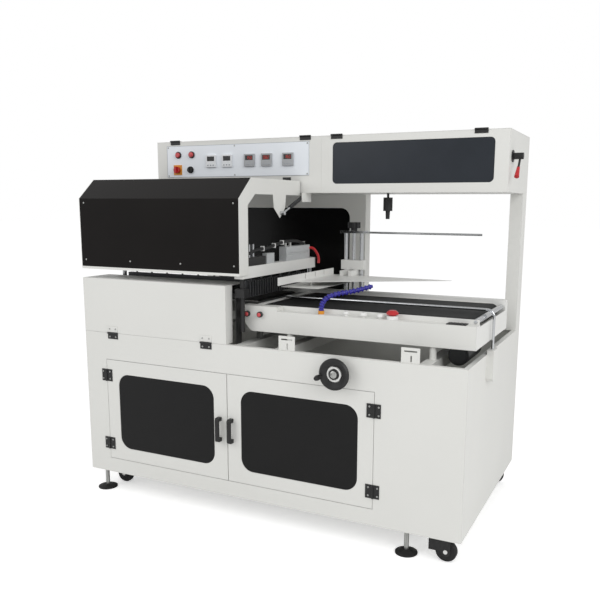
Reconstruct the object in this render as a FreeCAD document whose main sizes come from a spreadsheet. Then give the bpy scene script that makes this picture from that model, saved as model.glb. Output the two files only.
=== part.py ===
import FreeCAD, Part
import math
import os
import Sketcher

# L-bar sealer: a wheeled cabinet carries a height-adjustable belt conveyor, an L-shaped sealing jaw
# under a flip-up guard, a film-inverting head on two guide rods, and an overhead control box and beam.
# Lengths are in millimetres. Inside this file a point is measured from the cabinet's front left bottom
# corner: x to the right, y to the back, z up. Each finished piece is then placed in the model frame,
# whose origin is on the floor under the middle of the machine.

SIZES = {
    # cabinet
    "cabinet_length": 1600, "cabinet_depth": 900, "cabinet_height": 597, "ground_clearance": 95,
    "sheet_wall": 2, "rim_lip": 18, "flat_gap": 0.3, "running_gap": 0.05,
    # doors, flap and their hinges
    "door_start": 105, "door_left_width": 583, "door_right_width": 595, "door_sill": 61,
    "door_height": 425, "door_gap": 1.5, "door_fold": 12, "window_inset": 60, "window_sill": 53,
    "window_height": 315, "window_round": 50, "window_sheet": 3, "window_overlap": 12,
    "handle_inset": 33, "handle_width": 15, "handle_height": 95, "handle_rise": 205,
    "handle_stand": 26, "handle_foot": 14,
    "leaf_width": 50, "leaf_reach": 24, "leaf_sheet": 2, "knuckle_radius": 3.5,
    "door_hinge_low": 66, "door_hinge_high": 358,
    "flap_length": 688, "flap_height": 221, "housing_depth": 155, "return_depth": 48,
    "flap_hinge_left": 146, "flap_hinge_right": 598,
    # feet and casters
    "foot_inset_x": 41, "foot_right_inset": 203, "foot_inset_y": 45, "foot_pad_radius": 40,
    "foot_pad_height": 14, "foot_stud_radius": 8, "foot_nut_radius": 13, "foot_nut_height": 9,
    "caster_left_inset": 106, "caster_right_inset": 95.5, "caster_left_y": 130, "caster_right_y": 50,
    "caster_trail": 35,
    "caster_wheel_radius": 37.5, "caster_wheel_width": 26, "caster_plate_side": 70,
    "caster_plate_sheet": 4, "caster_neck": 6, "fork_sheet": 3, "axle_radius": 5, "fork_width": 50,
    # inner frame and height adjustment
    "member_side": 40, "member_wall": 3, "member_left": 60, "member_seal": 400, "member_jaw": 728,
    "member_film": 900, "member_right_inset": 150, "lift_post_radius": 12, "lift_post_height": 75,
    "lift_bush_radius": 18, "lift_bush_height": 27,
    "wheel_x": 1147, "wheel_z": 541, "wheel_stand": 30, "wheel_rim_radius": 56,
    "wheel_rim_inner": 29, "wheel_rim_depth": 16, "wheel_hub_radius": 18, "wheel_hub_depth": 26,
    "spoke_width": 11, "spoke_depth": 7, "crank_radius": 44, "crank_knob_radius": 10,
    "crank_knob_length": 46, "shaft_radius": 8, "boss_radius": 22, "boss_depth": 6,
    "gearbox_width": 60, "gearbox_depth": 50,
    # conveyor
    "belt_level": 740, "belt_sheet": 2, "belt_front": 142, "belt_back": 556, "roller_radius": 22,
    "roller_shaft_radius": 6, "roller_slack": 0.3, "infeed_start": 770, "infeed_inset": 27,
    "outfeed_start": 24, "outfeed_end": 704, "outfeed_front": 220, "rail_gap": 2, "bed_sheet": 3,
    "cover_front": 92, "cover_depth": 46, "cover_bottom": 641, "cover_top": 738, "cover_left": 703,
    "cover_nose": 43, "cover_nose_radius": 97, "ledge_start": 855, "ledge_drop": 16,
    "rear_cover_front": 562, "rear_cover_depth": 40, "rear_cover_top": 755, "rear_cover_bottom": 645,
    "crossbar_width": 30, "crossbar_height": 35, "nose_plate_start": 748, "nose_plate_sheet": 3.5,
    "transfer_radius": 10, "transfer_inset": 13, "end_plate_top": 716, "motor_radius": 36,
    "motor_length": 190, "motor_inset": 70, "motor_plate": 6, "motor_saddle": 3,
    # upper and lower jaws
    "jaw_left": 710, "jaw_width": 36, "jaw_front": 30, "jaw_back": 645, "jaw_arm_left": 40,
    "jaw_arm_front": 165, "jaw_arm_width": 40, "jaw_bottom": 842, "jaw_height": 44,
    "clamp_front": 80, "clamp_back": 555, "clamp_width": 22, "clamp_height": 58, "clamp_drop": 12,
    "clamp_arm_left": 90, "clamp_arm_width": 20, "rib_pitch": 19, "rib_width": 8, "rib_depth": 8,
    "knife_width": 4, "knife_depth": 5.5, "pin_radius": 4, "pin_pitch": 78,
    "jaw_post_radius": 9, "jaw_post_length": 200, "bearing_side": 40, "bearing_bottom": 771,
    "bearing_height": 33, "bearing_leg": 4, "post_front_y": 55, "post_back_y": 625,
    "post_arm_x": 62, "lower_jaw_bottom": 700, "lower_jaw_top": 738, "lower_jaw_back": 556,
    "lower_jaw_web": 20,
    "terminal_front": 64, "terminal_length": 146, "terminal_height": 32, "actuator_front": 376,
    "actuator_length": 215, "actuator_height": 58, "actuator_width": 34, "stud_radius": 4,
    "stud_height": 80, "fitting_length": 60, "fitting_height": 40,
    # guard and gas spring
    "guard_length": 752, "guard_bottom": 855, "guard_fold": 1135, "guard_run": 88,
    "guard_top": 1211, "guard_back": 483, "guard_sheet": 3, "guard_rail_height": 10,
    "guard_rail_depth": 15, "guard_bar": 62, "guard_bar_top": 1152, "guard_bar_inner": 1112,
    "guard_bar_run": 115, "tab_front": 252, "tab_back": 360, "tab_shoulder": 1101, "tab_tip_y": 308.5,
    "tab_tip_z": 1062, "tab_taper": 8, "guard_hinge_left": 79, "guard_hinge_right": 687,
    "guard_leaf_width": 38, "spring_gap": 12, "spring_eye_y": 313, "spring_eye_z": 1081,
    "spring_pivot_y": 475, "spring_pivot_z": 1143, "spring_radius": 8, "spring_rod_radius": 4,
    "spring_tube_start": 12, "spring_tube_length": 100, "spring_eye_radius": 8, "bracket_sheet": 4,
    "spring_pin_radius": 4, "bracket_low": 1125, "bracket_back": 540, "bracket_front": 458,
    # overhead box and beam
    "box_front": 491, "box_bottom": 1162, "box_height": 226, "box_left": 20, "box_right": 847,
    "lid_sheet": 2, "lid_gap": 0.5, "lid_hinge_a": 121, "lid_hinge_b": 773, "lid_hinge_c": 67,
    "lid_hinge_d": 105, "beam_window_left": 49, "beam_window_right": 53,
    "beam_window_low": 36.5, "beam_window_height": 163, "beam_window_round": 18,
    "plate_left": 74, "plate_length": 717, "plate_low": 72, "plate_height": 137, "plate_sheet": 1.5,
    "plate_round": 5, "controller_width": 50, "controller_height": 52, "controller_depth": 8,
    "controller_low": 113, "display_margin": 6, "display_recess": 1,
    "button_x": 137, "lamp_x": 209, "button_rise": 169, "bezel_radius": 15, "bezel_depth": 5,
    "button_radius": 11, "button_depth": 9, "button_travel": 3,
    "switch_x": 132, "selector_x": 202, "switch_rise": 104, "switch_side": 44, "switch_radius": 15,
    "switch_depth": 12, "switch_grip": 9, "selector_radius": 12,
    # rear panel, right post and film parts
    "rear_left": 40, "rear_right": 905, "rear_front": 841, "rear_window_left": 110,
    "rear_window_right": 828, "rear_window_low": 640, "rear_window_top": 1100,
    "rear_window_round": 45, "post_width": 50, "post_depth": 85, "post_wall": 3,
    "stand_x": 929, "stand_y": 650, "stand_rod_radius": 8, "stand_rod_spacing": 72,
    "stand_base_sheet": 10, "stand_base_length": 140, "stand_base_depth": 60, "stand_top": 1005,
    "stand_top_sheet": 10, "stand_top_length": 112, "stand_top_depth": 40, "hand_knob_radius": 27,
    "hand_knob_height": 36, "head_block_length": 104, "head_block_depth": 34, "head_block_low": 840,
    "head_block_height": 40, "head_plate_level": 815, "head_plate_sheet": 2, "head_flange_left": 848,
    "head_flange_front": 115, "head_flange_back": 620, "head_flange_height": 30,
    "head_point_y": 262, "head_tip_x": 1377, "head_tip_y": 600, "head_arm_width": 13,
    "head_arm_front": 560, "lower_plate_level": 795, "lower_plate_left": 790,
    "lower_plate_front": 245, "lower_plate_right": 950, "lower_plate_back": 600, "spacer_radius": 5,
    "rod_radius": 5, "guide_rod_y": 300, "guide_rod_z": 752, "guide_rod_left": 785,
    "guide_rod_bend": 26, "guide_rod_out": 12, "side_bracket_low": 500, "side_bracket_high": 612,
    "side_bracket_front": 265, "side_bracket_width": 70, "side_bracket_depth": 24,
    "side_bracket_chamfer": 10, "film_rod_y": 870, "film_rod_z": 990, "film_rod_inset": 170,
    "tab_a_x": 909, "tab_b_inset": 228, "tab_width": 65, "tab_height": 53, "tab_sheet": 3,
    "tab_offset": 4, "tab_slot_width": 5,
    # small parts
    "lever_y": 547, "lever_z": 1294, "lever_flange_radius": 22, "lever_flange_depth": 4,
    "lever_body_radius": 12, "lever_body_length": 36, "lever_arm_radius": 4, "lever_arm_length": 52,
    "grip_radius": 9, "grip_length": 46, "lever_lean": 38,
    "sensor_x": 1091, "sensor_y": 620, "sensor_neck": 17, "sensor_radius": 19,
    "sensor_height": 55, "sensor_tip_radius": 8, "sensor_tip_height": 33, "gland_x": 160,
    "gland_z": 1200, "gland_radius": 14, "gland_length": 18, "gland_bore": 6,
    "cover_knob_z": 707, "cover_knob_a": 732, "cover_knob_b": 786, "cover_knob_radius": 11,
    "cover_knob_length": 16, "ledge_knob_a": 1191, "ledge_knob_b": 1255, "ledge_knob_radius": 13,
    "ledge_knob_height": 17, "ledge_knob_y": 114, "stop_x": 1300, "stop_base_radius": 20,
    "stop_base_height": 13, "stop_radius": 21, "stop_height": 14, "stop_neck": 7, "stop_travel": 4, "stop_inset": 2,
    "hose_x": 1026, "hose_radius": 8,
}

CONTROLLER_CENTRES = (313, 396, 508, 592, 694)
# The air hose's links end at these places, along and up from its base in hose radii.
HOSE_ROUTE = ((0, 1.5), (0.1, 3.8), (0.9, 5.9), (2.5, 7.7), (4.9, 8.8), (7.8, 9.5), (10.9, 10),
              (13.9, 10.7), (17, 11.6), (20, 12.6))
HOSE_DRIFT = 0.62

doc = FreeCAD.newDocument("LBarSealer")
sheet = doc.addObject("Spreadsheet::Sheet", "dims")


class Size:
    """A length kept as a formula over the sheet's cells and as the number that it gives."""

    def __init__(self, formula, number):
        self.formula = formula
        self.number = number

    def __add__(self, other):
        return combined(self, "+", other)

    def __radd__(self, other):
        return combined(other, "+", self)

    def __sub__(self, other):
        return combined(self, "-", other)

    def __rsub__(self, other):
        return combined(other, "-", self)

    def __mul__(self, other):
        return combined(self, "*", other)

    def __rmul__(self, other):
        return combined(other, "*", self)

    def __truediv__(self, other):
        return combined(self, "/", other)

    def __neg__(self):
        return combined(0, "-", self)


def size(value):
    """A plain number as a Size, and a Size as itself."""
    if isinstance(value, Size):
        return value
    return Size(repr(value), float(value))


def combined(left, sign, right):
    """The Size of two lengths joined by an arithmetic sign."""
    left = size(left)
    right = size(right)
    results = {
        "+": left.number + right.number,
        "-": left.number - right.number,
        "*": left.number * right.number,
        "/": left.number / right.number if right.number else 0.0,
    }
    return Size(f"({left.formula} {sign} {right.formula})", results[sign])


def root(value):
    """The Size of a square root."""
    return Size(f"sqrt({value.formula})", math.sqrt(value.number))


class Dimensions:
    """The sheet's cells as Sizes, by alias."""


d = Dimensions()
for row, (alias, number) in enumerate(SIZES.items(), start=1):
    sheet.set(f"A{row}", alias)
    sheet.set(f"B{row}", str(number))
    sheet.setAlias(f"B{row}", alias)
    setattr(d, alias, Size(f"dims.{alias}", float(number)))
doc.recompute()

NODES = []
PLACES = {}
DIRECTIONS = {
    "+X": FreeCAD.Vector(1, 0, 0), "-X": FreeCAD.Vector(-1, 0, 0),
    "+Y": FreeCAD.Vector(0, 1, 0), "-Y": FreeCAD.Vector(0, -1, 0),
    "+Z": FreeCAD.Vector(0, 0, 1), "-Z": FreeCAD.Vector(0, 0, -1),
}
UP = FreeCAD.Vector(0, 0, 1)


def bind(thing, path, value):
    """Ties a property to a Size."""
    thing.setExpression(path, size(value).formula)


def put(thing, x, y, z, direction=None):
    """Places a thing at a point, with its own Z axis turned to a direction."""
    if direction is not None:
        turn = DIRECTIONS.get(direction, direction) if isinstance(direction, str) else direction
        thing.Placement = FreeCAD.Placement(FreeCAD.Vector(), FreeCAD.Rotation(UP, turn))
    PLACES[thing.Name] = (size(x), size(y), size(z))
    for axis, value in zip("xyz", (x, y, z)):
        bind(thing, f"Placement.Base.{axis}", value)
    return thing


def block(x, y, z, length, width, height):
    """A box from its low corner."""
    thing = doc.addObject("Part::Box", "Block")
    bind(thing, "Length", length)
    bind(thing, "Width", width)
    bind(thing, "Height", height)
    return put(thing, x, y, z)


def cylinder(x, y, z, radius, length, direction="+Z"):
    """A round bar from the centre of one end."""
    thing = doc.addObject("Part::Cylinder", "Round")
    bind(thing, "Radius", radius)
    bind(thing, "Height", length)
    return put(thing, x, y, z, direction)


def cone(x, y, z, radius, end_radius, length, direction="+Z"):
    """A tapered round bar from the centre of one end."""
    thing = doc.addObject("Part::Cone", "Taper")
    bind(thing, "Radius1", radius)
    bind(thing, "Radius2", end_radius)
    bind(thing, "Height", length)
    return put(thing, x, y, z, direction)


def fused(*things):
    """One solid of several that touch or overlap."""
    whole = doc.addObject("Part::MultiFuse", "Fused")
    whole.Shapes = list(things)
    whole.Refine = True
    return whole


def cut(base, *tools):
    """A solid less the tools."""
    tool = tools[0] if len(tools) == 1 else fused(*tools)
    whole = doc.addObject("Part::Cut", "Cut")
    whole.Base = base
    whole.Tool = tool
    return whole


def grouped(*things):
    """Several separate solids of one node."""
    whole = doc.addObject("Part::Compound", "Group")
    whole.Links = list(things)
    return whole


def origin_plane(body, role):
    """One of a body's own origin planes."""
    return next(plane for plane in body.Origin.OriginFeatures if plane.Role == role)


def shifted(corner, neighbour, radius):
    """The point on the straight edge to a neighbour where a rounded corner starts."""
    moved = []
    for here, there in zip(corner[:2], neighbour[:2]):
        step = size(there).number - size(here).number
        if abs(step) < 1e-9:
            moved.append(size(here))
        else:
            moved.append(here + radius if step > 0 else here - radius)
    return tuple(moved)


def vector(point):
    """A sketch point as a vector."""
    return FreeCAD.Vector(size(point[0]).number, size(point[1]).number, 0)


def outline_steps(corners):
    """The points of an outline, each with the radius and centre of the arc that leads on from it."""
    steps = []
    for index, corner in enumerate(corners):
        if len(corner) == 2:
            steps.append((corner, None, None))
            continue
        if len(corner) == 4:
            steps.append((corner[:2], corner[2], corner[3]))
            continue
        radius = corner[2]
        start = shifted(corner, corners[index - 1], radius)
        end = shifted(corner, corners[(index + 1) % len(corners)], radius)
        centre = vector(start) + vector(end) - vector(corner)
        steps.append((start, radius, centre))
        steps.append((end, None, None))
    return steps


def bowed_middle(start, end, radius, centre):
    """The middle of an arc, from its centre, or from the side that it bulges to."""
    chord = (start + end) / 2
    if isinstance(centre, FreeCAD.Vector):
        outward = chord - centre
        return centre + outward.normalize() * radius
    half = (end - start).Length / 2
    rise = radius - math.sqrt(max(radius ** 2 - half ** 2, 0.0))
    across = FreeCAD.Vector(start.y - end.y, end.x - start.x, 0).normalize()
    return chord + across * rise * centre


def draw_outline(sketch, corners):
    """Draws a closed outline whose corners are held by lengths from the sketch's origin.

    A corner is (u, v); (u, v, radius) where square edges are rounded; or (u, v, radius, side) where an
    arc of that radius leads on to the next corner and bulges to one side.
    """
    steps = outline_steps(corners)
    edges = []
    for index, (start, radius, centre) in enumerate(steps):
        end = steps[(index + 1) % len(steps)][0]
        first = vector(start)
        last = vector(end)
        if radius is None:
            edge = sketch.addGeometry(Part.LineSegment(first, last), False)
            edges.append((edge, 1, 2))
            continue
        middle = bowed_middle(first, last, size(radius).number, centre)
        edge = sketch.addGeometry(Part.Arc(first, middle, last), False)
        forward = (sketch.getPoint(edge, 1) - first).Length < 1e-6
        edges.append((edge, 1, 2) if forward else (edge, 2, 1))
        rule = sketch.addConstraint(Sketcher.Constraint("Radius", edge, size(radius).number))
        bind(sketch, f"Constraints[{rule}]", radius)
    for index, (edge, head, tail) in enumerate(edges):
        following = edges[(index + 1) % len(edges)]
        sketch.addConstraint(Sketcher.Constraint("Coincident", edge, tail, following[0], following[1]))
        for kind, value in zip(("DistanceX", "DistanceY"), steps[index][0]):
            value = size(value)
            rule = sketch.addConstraint(Sketcher.Constraint(kind, -1, 1, edge, head, value.number))
            bind(sketch, f"Constraints[{rule}]", value)


def draw_circle(sketch, u, v, radius):
    """Draws a circle about a point."""
    centre = FreeCAD.Vector(size(u).number, size(v).number, 0)
    ring = Part.Circle(centre, UP, size(radius).number)
    edge = sketch.addGeometry(ring, False)
    rule = sketch.addConstraint(Sketcher.Constraint("Radius", edge, size(radius).number))
    bind(sketch, f"Constraints[{rule}]", radius)
    for kind, value in zip(("DistanceX", "DistanceY"), (size(u), size(v))):
        rule = sketch.addConstraint(Sketcher.Constraint(kind, -1, 1, edge, 3, value.number))
        bind(sketch, f"Constraints[{rule}]", value)


def sketch_on(body, plane, outlines, start):
    """A sketch on one of the body's origin planes, moved along the plane's normal to a start.

    An outline is a list of corners, or (u, v, radius) of a circle.
    """
    sketch = body.newObject("Sketcher::SketchObject", "Sketch")
    sketch.AttachmentSupport = [(origin_plane(body, f"{plane}_Plane"), "")]
    sketch.MapMode = "FlatFace"
    offset = -size(start) if plane == "XZ" else size(start)
    bind(sketch, "AttachmentOffset.Base.z", offset)
    for outline in outlines:
        if isinstance(outline[0], tuple):
            draw_outline(sketch, outline)
        else:
            draw_circle(sketch, *outline)
    return sketch


def pad(body, plane, outlines, start, length):
    """Adds a plate: outlines on a plane, from a start towards plus along the normal axis."""
    feature = body.newObject("PartDesign::Pad", "Pad")
    feature.Profile = sketch_on(body, plane, outlines, start)
    bind(feature, "Length", length)
    feature.Reversed = plane == "XZ"
    return feature


def pocket(body, plane, outlines, start, length):
    """Cuts outlines on a plane, from a start towards plus along the normal axis."""
    feature = body.newObject("PartDesign::Pocket", "Pocket")
    feature.Profile = sketch_on(body, plane, outlines, start)
    bind(feature, "Length", length)
    feature.Reversed = plane != "XZ"
    return feature


def new_body(name):
    """An empty PartDesign body."""
    return doc.addObject("PartDesign::Body", name)


def prism(name, plane, outlines, start, length):
    """A body that is one pad."""
    body = new_body(name)
    pad(body, plane, outlines, start, length)
    return body


def turned(name, x, y, z, direction, profile):
    """A turned body from its half profile of (radius, height) corners, set along a direction."""
    body = new_body(name)
    sketch = sketch_on(body, "XZ", [profile], 0)
    feature = body.newObject("PartDesign::Revolution", "Revolution")
    feature.Profile = sketch
    feature.ReferenceAxis = (sketch, ["V_Axis"])
    feature.Angle = 360
    return put(body, x, y, z, direction)


def rectangle(u_low, v_low, u_high, v_high, radius=None):
    """The corners of a rectangle, rounded where a radius is given."""
    corners = [(u_low, v_low), (u_high, v_low), (u_high, v_high), (u_low, v_high)]
    if radius is None:
        return corners
    return [corner + (radius,) for corner in corners]


# Overall places that many pieces share.
length = d.cabinet_length
depth = d.cabinet_depth
rim = d.cabinet_height
wall = d.sheet_wall
beam_top = d.box_bottom + d.box_height
crank_reach = d.wheel_stand + d.wheel_rim_depth + d.crank_knob_length
lever_reach = d.lever_flange_depth + d.lever_body_length
middle_x = (length + lever_reach) / 2
middle_y = (depth + d.gland_length - crank_reach) / 2
infeed_end = length - d.infeed_inset
member_right = length - d.member_right_inset
spring_x = d.guard_length + d.spring_gap


def node(label, thing):
    """Names a finished piece and moves it from the cabinet's corner to the model frame."""
    x, y, z = PLACES.get(thing.Name, (size(0), size(0), size(0)))
    bind(thing, "Placement.Base.x", x - middle_x)
    bind(thing, "Placement.Base.y", y - middle_y)
    bind(thing, "Placement.Base.z", z + d.ground_clearance)
    thing.Label = label
    NODES.append(thing)
    return thing


# ---------------------------------------------------------------- cabinet
door_low = d.door_sill
door_high = d.door_sill + d.door_height
door_middle = d.door_start + d.door_left_width
door_end = door_middle + d.door_right_width


def front_panel():
    """The front sheet with one opening for both doors, a turned-in rim and the handwheel's boss."""
    opening = rectangle(d.door_start, door_low, door_end, door_high)
    shaft_hole = (d.wheel_x, d.wheel_z, d.shaft_radius + d.running_gap)
    body = prism("FrontPanel", "XZ", [rectangle(0, 0, length, rim), opening, shaft_hole], 0, wall)
    lip = rectangle(wall, rim - wall, d.rim_lip, rim)
    pad(body, "YZ", [lip], wall, length - 2 * wall)
    boss = (d.wheel_x, d.wheel_z, d.boss_radius)
    pad(body, "XZ", [boss, shaft_hole], -d.boss_depth, d.boss_depth)
    return body


def side_panel(outer, inner):
    """One end sheet of the cabinet, from its outer face, with its turned-in rim."""
    panel = block(outer, wall, 0, wall, depth - 2 * wall, rim)
    lip = block(inner, d.rim_lip, rim - wall, d.rim_lip - wall, depth - 2 * d.rim_lip, wall)
    return fused(panel, lip)


def cabinet_panels():
    """Both end sheets, the back sheet and the floor pan."""
    left = side_panel(size(0), wall)
    right = side_panel(length - wall, length - d.rim_lip)
    back_sheet = block(0, depth - wall, 0, length, wall, rim)
    back_lip = block(wall, depth - d.rim_lip, rim - wall, length - 2 * wall, d.rim_lip - wall, wall)
    floor = block(wall, wall, 0, length - 2 * wall, depth - 2 * wall, wall)
    return grouped(left, right, fused(back_sheet, back_lip), floor)


member_low = rim - wall - d.member_side
member_top = rim - wall
front_bush_y = d.cover_front + wall + d.lift_bush_radius
rear_bush_y = d.rear_cover_front + d.rear_cover_depth / 2
LIFT_POINTS = (
    (d.member_seal, rear_bush_y), (member_right, rear_bush_y),
    (d.member_film, front_bush_y), (member_right, front_bush_y),
)


def lift_frame():
    """Square tubes from front to back under the rim, the four lift posts and the screw gearbox."""
    parts = []
    for centre in (d.member_left, d.member_seal, d.member_jaw, d.member_film, member_right):
        left = centre - d.member_side / 2
        span = depth - 2 * wall
        hollow = d.member_side - 2 * d.member_wall
        outer = block(left, wall, member_low, d.member_side, span, d.member_side)
        inner = block(left + d.member_wall, wall, member_low + d.member_wall, hollow, span, hollow)
        parts.append(cut(outer, inner))
    for x, y in LIFT_POINTS:
        parts.append(cylinder(x, y, member_top, d.lift_post_radius, d.lift_post_height))
    half = d.gearbox_width / 2
    case = block(d.wheel_x - half, wall, d.wheel_z - half, d.gearbox_width, d.gearbox_depth,
                 d.gearbox_width)
    bore = cylinder(d.wheel_x, wall, d.wheel_z, d.shaft_radius + d.running_gap,
                    d.gearbox_depth - d.member_wall, "+Y")
    parts.append(cut(case, bore))
    return grouped(*parts)


def upper_housing():
    """The low box over the cabinet's left front that the flap closes."""
    top = rim + d.flap_height
    end_wall = block(0, wall, rim, wall, d.housing_depth - wall, d.flap_height)
    roof = block(wall, wall, top - wall, d.flap_length - wall, d.housing_depth - wall, wall)
    side = block(d.flap_length - wall, wall, rim, wall, d.return_depth - wall, d.flap_height - wall)
    return fused(end_wall, roof, side)


# ---------------------------------------------------------------- doors, flap and hinges
def door(name, left, right):
    """A folded door pan with a rounded window cut-out."""
    low_x = left + d.door_gap
    high_x = right - d.door_gap
    low_z = door_low + d.door_gap
    high_z = door_high - d.door_gap
    hole = rectangle(left + d.window_inset, door_low + d.window_sill, right - d.window_inset,
                     door_low + d.window_sill + d.window_height, d.window_round)
    body = prism(name, "XZ", [rectangle(low_x, low_z, high_x, high_z), hole], 0, wall)
    fold = [rectangle(low_x, low_z, high_x, high_z),
            rectangle(low_x + wall, low_z + wall, high_x - wall, high_z - wall)]
    pad(body, "XZ", fold, wall, d.door_fold - wall)
    return body


def door_window(left, right):
    """The dark sheet behind a door's cut-out."""
    edge = d.window_overlap
    low_z = door_low + d.window_sill - edge
    outline = rectangle(left + d.window_inset - edge, low_z, right - d.window_inset + edge,
                        low_z + d.window_height + 2 * edge, d.window_round)
    return prism("DoorWindow", "XZ", [outline], wall, d.window_sheet)


def bow_handle(centre):
    """A flat bow handle that stands off the door on two feet."""
    low_z = door_low + d.handle_rise - d.handle_height / 2
    high_z = low_z + d.handle_height
    foot = d.handle_foot
    stand = d.handle_stand
    strip = foot * 0.6
    profile = [(-stand, low_z, strip), (0, low_z), (0, low_z + foot), (strip - stand, low_z + foot),
               (strip - stand, high_z - foot), (0, high_z - foot), (0, high_z),
               (-stand, high_z, strip)]
    return prism("BowHandle", "YZ", [profile], centre - d.handle_width / 2, d.handle_width)


leaf_start = d.knuckle_radius + d.door_gap / 3


def door_fittings(hinge_x, side, handle_x):
    """A door's handle and the moving leaves of its two hinges."""
    leaves = []
    for rise in (d.door_hinge_low, d.door_hinge_high):
        low_z = door_low + rise - d.leaf_width / 2
        near = hinge_x + leaf_start if side > 0 else hinge_x - leaf_start - d.leaf_reach
        leaves.append(block(near, -d.leaf_sheet, low_z, d.leaf_reach, d.leaf_sheet, d.leaf_width))
    return grouped(bow_handle(handle_x), *leaves)


def fixed_door_leaf(hinge_x, side, rise):
    """The leaf on the cabinet with the whole knuckle."""
    low_z = door_low + rise - d.leaf_width / 2
    near = hinge_x - d.leaf_reach if side > 0 else hinge_x
    leaf = block(near, -d.leaf_sheet, low_z, d.leaf_reach, d.leaf_sheet, d.leaf_width)
    knuckle = cylinder(hinge_x, -d.knuckle_radius, low_z, d.knuckle_radius, d.leaf_width)
    return fused(leaf, knuckle)


def fixed_flap_leaf(centre):
    """The leaf under the flap, on the cabinet's front."""
    left = centre - d.leaf_width / 2
    leaf = block(left, -d.leaf_sheet, rim - d.leaf_reach, d.leaf_width, d.leaf_sheet, d.leaf_reach)
    knuckle = cylinder(left, -d.knuckle_radius, rim, d.knuckle_radius, d.leaf_width, "+X")
    return fused(leaf, knuckle)


def box_leaf(centre, width, axis_z, reach):
    """A leaf on the overhead box's front with its knuckle; a positive reach goes up from the axis."""
    left = centre - width / 2
    axis_y = d.box_front - d.knuckle_radius
    low_z = axis_z if reach > 0 else axis_z - d.leaf_reach * 2 / 3
    leaf = block(left, d.box_front - d.leaf_sheet, low_z, width, d.leaf_sheet, d.leaf_reach * 2 / 3)
    knuckle = cylinder(left, axis_y, axis_z, d.knuckle_radius, width, "+X")
    return fused(leaf, knuckle)


guard_axis_z = d.guard_top
lid_axis_z = beam_top + d.knuckle_radius
LID_HINGES = (d.lid_hinge_a, d.lid_hinge_b, d.box_right + d.lid_hinge_c, length - d.lid_hinge_d)


def hinge_leaves():
    """Every fixed hinge leaf of the machine."""
    parts = []
    for rise in (d.door_hinge_low, d.door_hinge_high):
        parts.append(fixed_door_leaf(d.door_start, 1, rise))
        parts.append(fixed_door_leaf(door_end, -1, rise))
    for centre in (d.flap_hinge_left, d.flap_hinge_right):
        parts.append(fixed_flap_leaf(centre))
    for centre in (d.guard_hinge_left, d.guard_hinge_right):
        parts.append(box_leaf(centre, d.guard_leaf_width, guard_axis_z, 1))
    for centre in LID_HINGES:
        parts.append(box_leaf(centre, d.leaf_width, lid_axis_z, -1))
    return grouped(*parts)


def front_flap():
    """The drop-down access panel over the doors with its hinge leaves."""
    sheet_low = rim + d.door_gap / 3
    panel = block(0, 0, sheet_low, d.flap_length, wall, d.flap_height + rim - sheet_low)
    leaves = []
    for centre in (d.flap_hinge_left, d.flap_hinge_right):
        left = centre - d.leaf_width / 2
        leaves.append(block(left, -d.leaf_sheet, rim + leaf_start, d.leaf_width, d.leaf_sheet,
                            d.leaf_reach))
    return fused(panel, *leaves)


# ---------------------------------------------------------------- feet and casters
foot_xs = (d.foot_inset_x, length - d.foot_right_inset)
foot_ys = (d.foot_inset_y, depth - d.foot_inset_y)
CASTERS = {
    "front_left": (d.caster_left_inset, d.caster_left_y, -1),
    "rear_left": (d.caster_left_inset, depth - d.caster_left_y, -1),
    "front_right": (length - d.caster_right_inset, d.caster_right_y, 1),
    "rear_right": (length - d.caster_right_inset, depth - d.caster_right_y, 1),
}


def base_hardware():
    """The levelling studs with their lock nuts, and the casters' top plates."""
    parts = []
    stud_low = d.foot_pad_height - d.ground_clearance
    for x in foot_xs:
        for y in foot_ys:
            stud = cylinder(x, y, stud_low, d.foot_stud_radius, -stud_low)
            nut = doc.addObject("Part::Prism", "LockNut")
            nut.Polygon = 6
            bind(nut, "Circumradius", d.foot_nut_radius)
            bind(nut, "Height", d.foot_nut_height)
            put(nut, x, y, -d.foot_nut_height)
            parts.append(fused(stud, nut))
    half = d.caster_plate_side / 2
    for x, y, _ in CASTERS.values():
        parts.append(block(x - half, y - half, -d.caster_plate_sheet, d.caster_plate_side,
                           d.caster_plate_side, d.caster_plate_sheet))
    return grouped(*parts)


def levelling_pads():
    """The domed pads that the machine stands on."""
    dome = [(0, 0), (d.foot_pad_radius, 0), (d.foot_pad_radius, d.foot_pad_height * 0.35),
            (d.foot_pad_radius * 0.45, d.foot_pad_height), (0, d.foot_pad_height)]
    pads = []
    for x in foot_xs:
        for y in foot_ys:
            pads.append(turned("LevellingPad", x, y, -d.ground_clearance, "+Z", dome))
    return grouped(*pads)


axle_drop = d.ground_clearance - d.caster_wheel_radius


def caster_fork(x, y, way):
    """A caster's housing: a cap that turns under the plate and two cheeks that hold the axle."""
    top = -d.caster_plate_sheet - d.flat_gap
    crown_low = -axle_drop + d.caster_wheel_radius + d.caster_neck / 3
    half = d.fork_width / 2
    outer = d.caster_wheel_width / 2 + d.flat_gap + d.fork_sheet
    axle_x = x + d.caster_trail * way
    crown = cylinder(x, y, crown_low, half, top - crown_low)
    cheeks = []
    for low_y in (y - outer, y + outer - d.fork_sheet):
        low_x = x - half if way > 0 else axle_x - d.caster_wheel_radius * 0.45
        reach = half + d.caster_trail + d.caster_wheel_radius * 0.45
        upper = block(low_x, low_y, -axle_drop, reach, d.fork_sheet, axle_drop + crown_low)
        round_end = cylinder(axle_x, low_y, -axle_drop, d.caster_wheel_radius * 0.45, d.fork_sheet, "+Y")
        cheeks.extend((upper, round_end))
    bridge_low = size(crown_low)
    low_x = x - half if way > 0 else axle_x - d.caster_wheel_radius * 0.45
    bridge = block(low_x, y - outer, bridge_low, half + d.caster_trail + d.caster_wheel_radius * 0.45,
                   2 * outer, d.fork_sheet)
    axle = cylinder(axle_x, y - outer, -axle_drop, d.axle_radius, 2 * outer, "+Y")
    return fused(crown, bridge, axle, *cheeks)


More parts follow.
